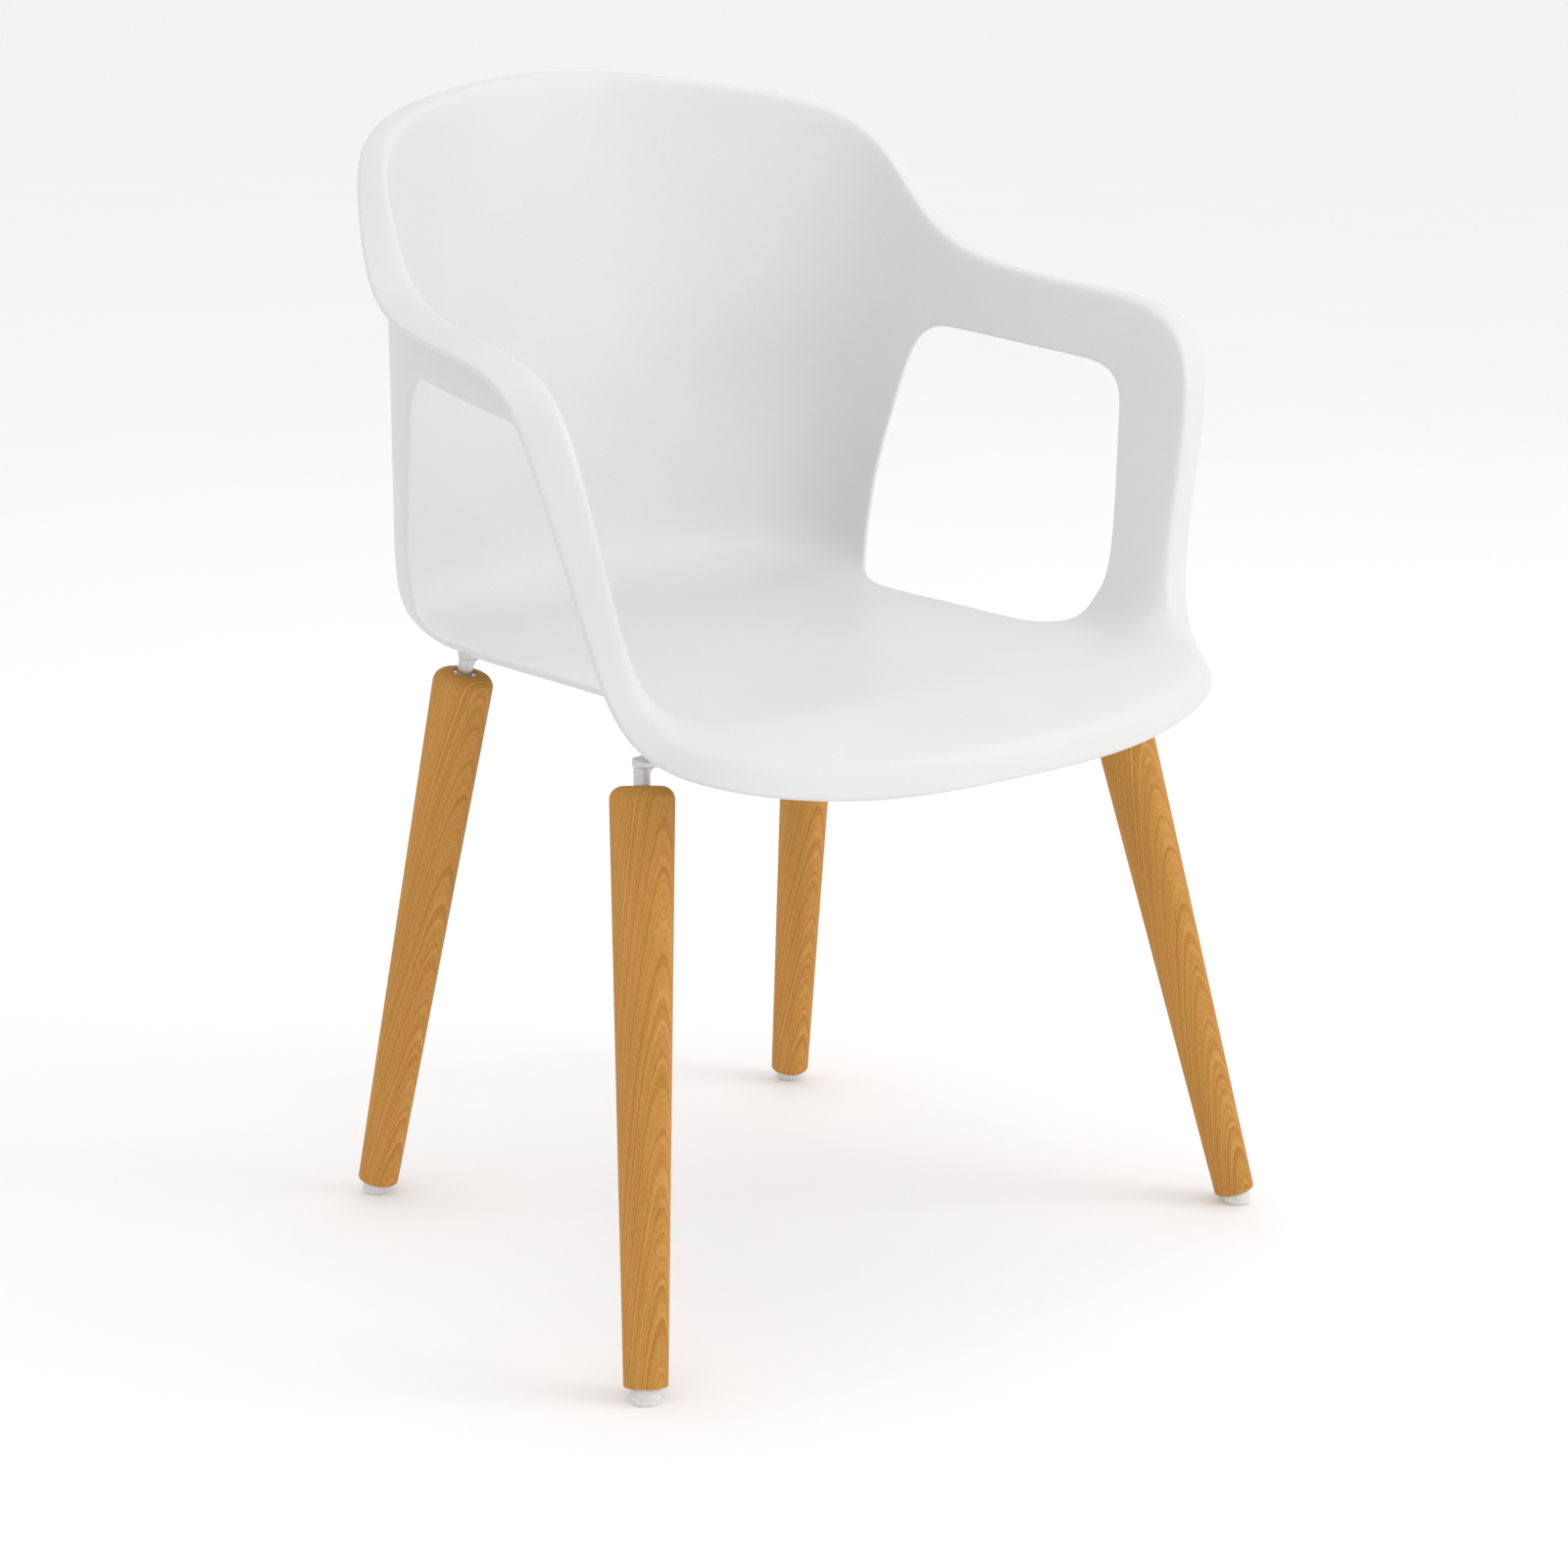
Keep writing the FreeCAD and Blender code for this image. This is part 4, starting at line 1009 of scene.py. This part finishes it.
def glide_plastic():
    """Off-white nylon with dark and light specks and a scuffed surface."""
    finish = Finish("glide_plastic")
    cells = finish.node("ShaderNodeTexVoronoi", feature="F1")
    cells.inputs["Scale"].default_value = 900
    finish.link(finish.coords, cells.inputs["Vector"])
    scuff = finish.noise(finish.coords, 350, 4, 0.6)
    colour = finish.ramp(scuff, [(0.3, (0.64, 0.64, 0.62)), (0.7, (0.80, 0.80, 0.78))])
    speck = finish.ramp(cells.outputs["Distance"], [(0.12, 1.0), (0.22, 0.0)])
    colour = finish.mix(finish.math("MULTIPLY", speck, 0.4), colour, (0.20, 0.20, 0.20))
    rough = finish.ramp(scuff, [(0.3, 0.45), (0.7, 0.62)])
    return finish.set(Base_Color=colour, Roughness=rough, Normal=finish.bump(scuff, 0.3, 0.0003))


def pale_floor():
    """Matt pale floor with a hardly visible unevenness in tone."""
    finish = Finish("studio_floor")
    dust = finish.noise(finish.coords, 3, 4, 0.6)
    colour = finish.ramp(dust, [(0.3, (0.955, 0.955, 0.955)), (0.7, (0.965, 0.965, 0.965))])
    return finish.set(Base_Color=colour, Roughness=0.7, Specular_IOR_Level=0.2)


# ------------------------------------------------------------------ pieces
shell = shell_skin()
for lines in (FRONT, REAR):
    for x in (SIDE_SCREW_X, 0.0, -SIDE_SCREW_X):
        add_boss(shell, lines[1], x, lines[1].joint[1])
shell.piece("seat_shell_moulding", shell_plastic(), "seat_shell", "shell_plastic", smooth_angle=50)

steel = coated_steel()
nylon = glide_plastic()
for place, lines in (("front", FRONT), ("rear", REAR)):
    crossbar_skin(lines).piece(place + "_crossbar_steel", steel, place + "_crossbar", "frame_steel")
    for side, line in lines.items():
        corner = place + ("_right" if side == 1 else "_left")
        seed = 1 + (place == "rear") * 2 + (side == -1)
        wood = beech("beech_" + corner, line, seed)
        leg_skin(line).piece("leg_wood_" + corner, wood, "leg_" + corner, "leg_wood")
        glide_skin(line).piece("glide_foot_" + corner, nylon, "glide_" + corner, "glide_plastic")

zinc = plated("zinc_plate", (0.52, 0.53, 0.55), (0.70, 0.71, 0.73))
screws = glide_screw_skin([*FRONT.values(), *REAR.values()])
screws.piece("glide_screw_set", zinc, "glide_screws", "zinc_steel")
black = plated("black_oxide", (0.030, 0.030, 0.034), (0.075, 0.075, 0.080), 0.8, 0.32, 0.5)
brass = plated("turned_brass", (0.62, 0.44, 0.17), (0.78, 0.60, 0.28))
kept = {"sleeve_front_right": zinc, "sleeve_front_left": zinc, "sleeve_rear_right": zinc,
        "sleeve_rear_left": zinc, "frame_washers": zinc, "frame_screws": black, "spring_washers": black,
        "lock_screws": black, "seat_inserts": brass}
for node, material in kept.items():
    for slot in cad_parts[node].material_slots:
        slot.material = material

# ------------------------------------------------------------------ floor, light and camera
FLOOR_REACH = 25.0          # metres
FLOOR_SIDES = 128
floor_mesh = bpy.data.meshes.new("studio_floor")
turn = np.arange(FLOOR_SIDES) * 2 * np.pi / FLOOR_SIDES
circle = FLOOR_REACH * np.column_stack([np.cos(turn), np.sin(turn), 0 * turn])
floor_mesh.from_pydata(circle.tolist(), [], [list(range(FLOOR_SIDES))])
floor_mesh.materials.append(pale_floor())
floor = bpy.data.objects.new("studio_floor", floor_mesh)
bpy.context.scene.collection.objects.link(floor)

scene = bpy.context.scene
scene.view_settings.view_transform = "Standard"
world = bpy.data.worlds.new("studio")
world.use_nodes = True
world.node_tree.nodes["Background"].inputs["Color"].default_value = (1, 1, 1, 1)
world.node_tree.nodes["Background"].inputs["Strength"].default_value = 0.93
scene.world = world


def soft_light(name, place, target, size, power):
    """Square soft box that faces a target."""
    lamp = bpy.data.lights.new(name, "AREA")
    lamp.size = size
    lamp.energy = power
    thing = bpy.data.objects.new(name, lamp)
    thing.location = place
    thing.rotation_euler = (Vector(target) - Vector(place)).to_track_quat("-Z", "Y").to_euler()
    scene.collection.objects.link(thing)


soft_light("key", (2.3, -2.6, 2.0), (0, 0, 0.45), 2.0, 37)
soft_light("top", (0.1, 0.2, 3.2), (0, 0, 0.5), 2.4, 12)


def camera(azimuth, elevation, distance, target, focal_share, roll):
    """Camera that looks at the target from distance metres away. focal_share: focal length / frame width.

    With a the azimuth and e the elevation, the way to the camera is (sin a cos e, -cos a cos e, sin e).
    """
    a, e, r = (math.radians(value) for value in (azimuth, elevation, roll))
    away = Vector((math.sin(a) * math.cos(e), -math.cos(a) * math.cos(e), math.sin(e)))
    right = Vector((math.cos(a), math.sin(a), 0))
    up = away.cross(right)
    turned_right = right * math.cos(r) + up * math.sin(r)
    turned_up = up * math.cos(r) - right * math.sin(r)
    lens = bpy.data.cameras.new("camera")
    lens.sensor_width = 36
    lens.lens = 36 * focal_share
    thing = bpy.data.objects.new("camera", lens)
    columns = (turned_right, turned_up, away)
    pose = Matrix(columns).transposed().to_4x4()
    pose.translation = Vector(target) + away * distance
    thing.matrix_world = pose
    scene.collection.objects.link(thing)
    scene.camera = thing


camera(-41.503, 14.862, 2.632, (0.0247, 0.0109, 0.3122), 3752.5 / 1600, 1.125)
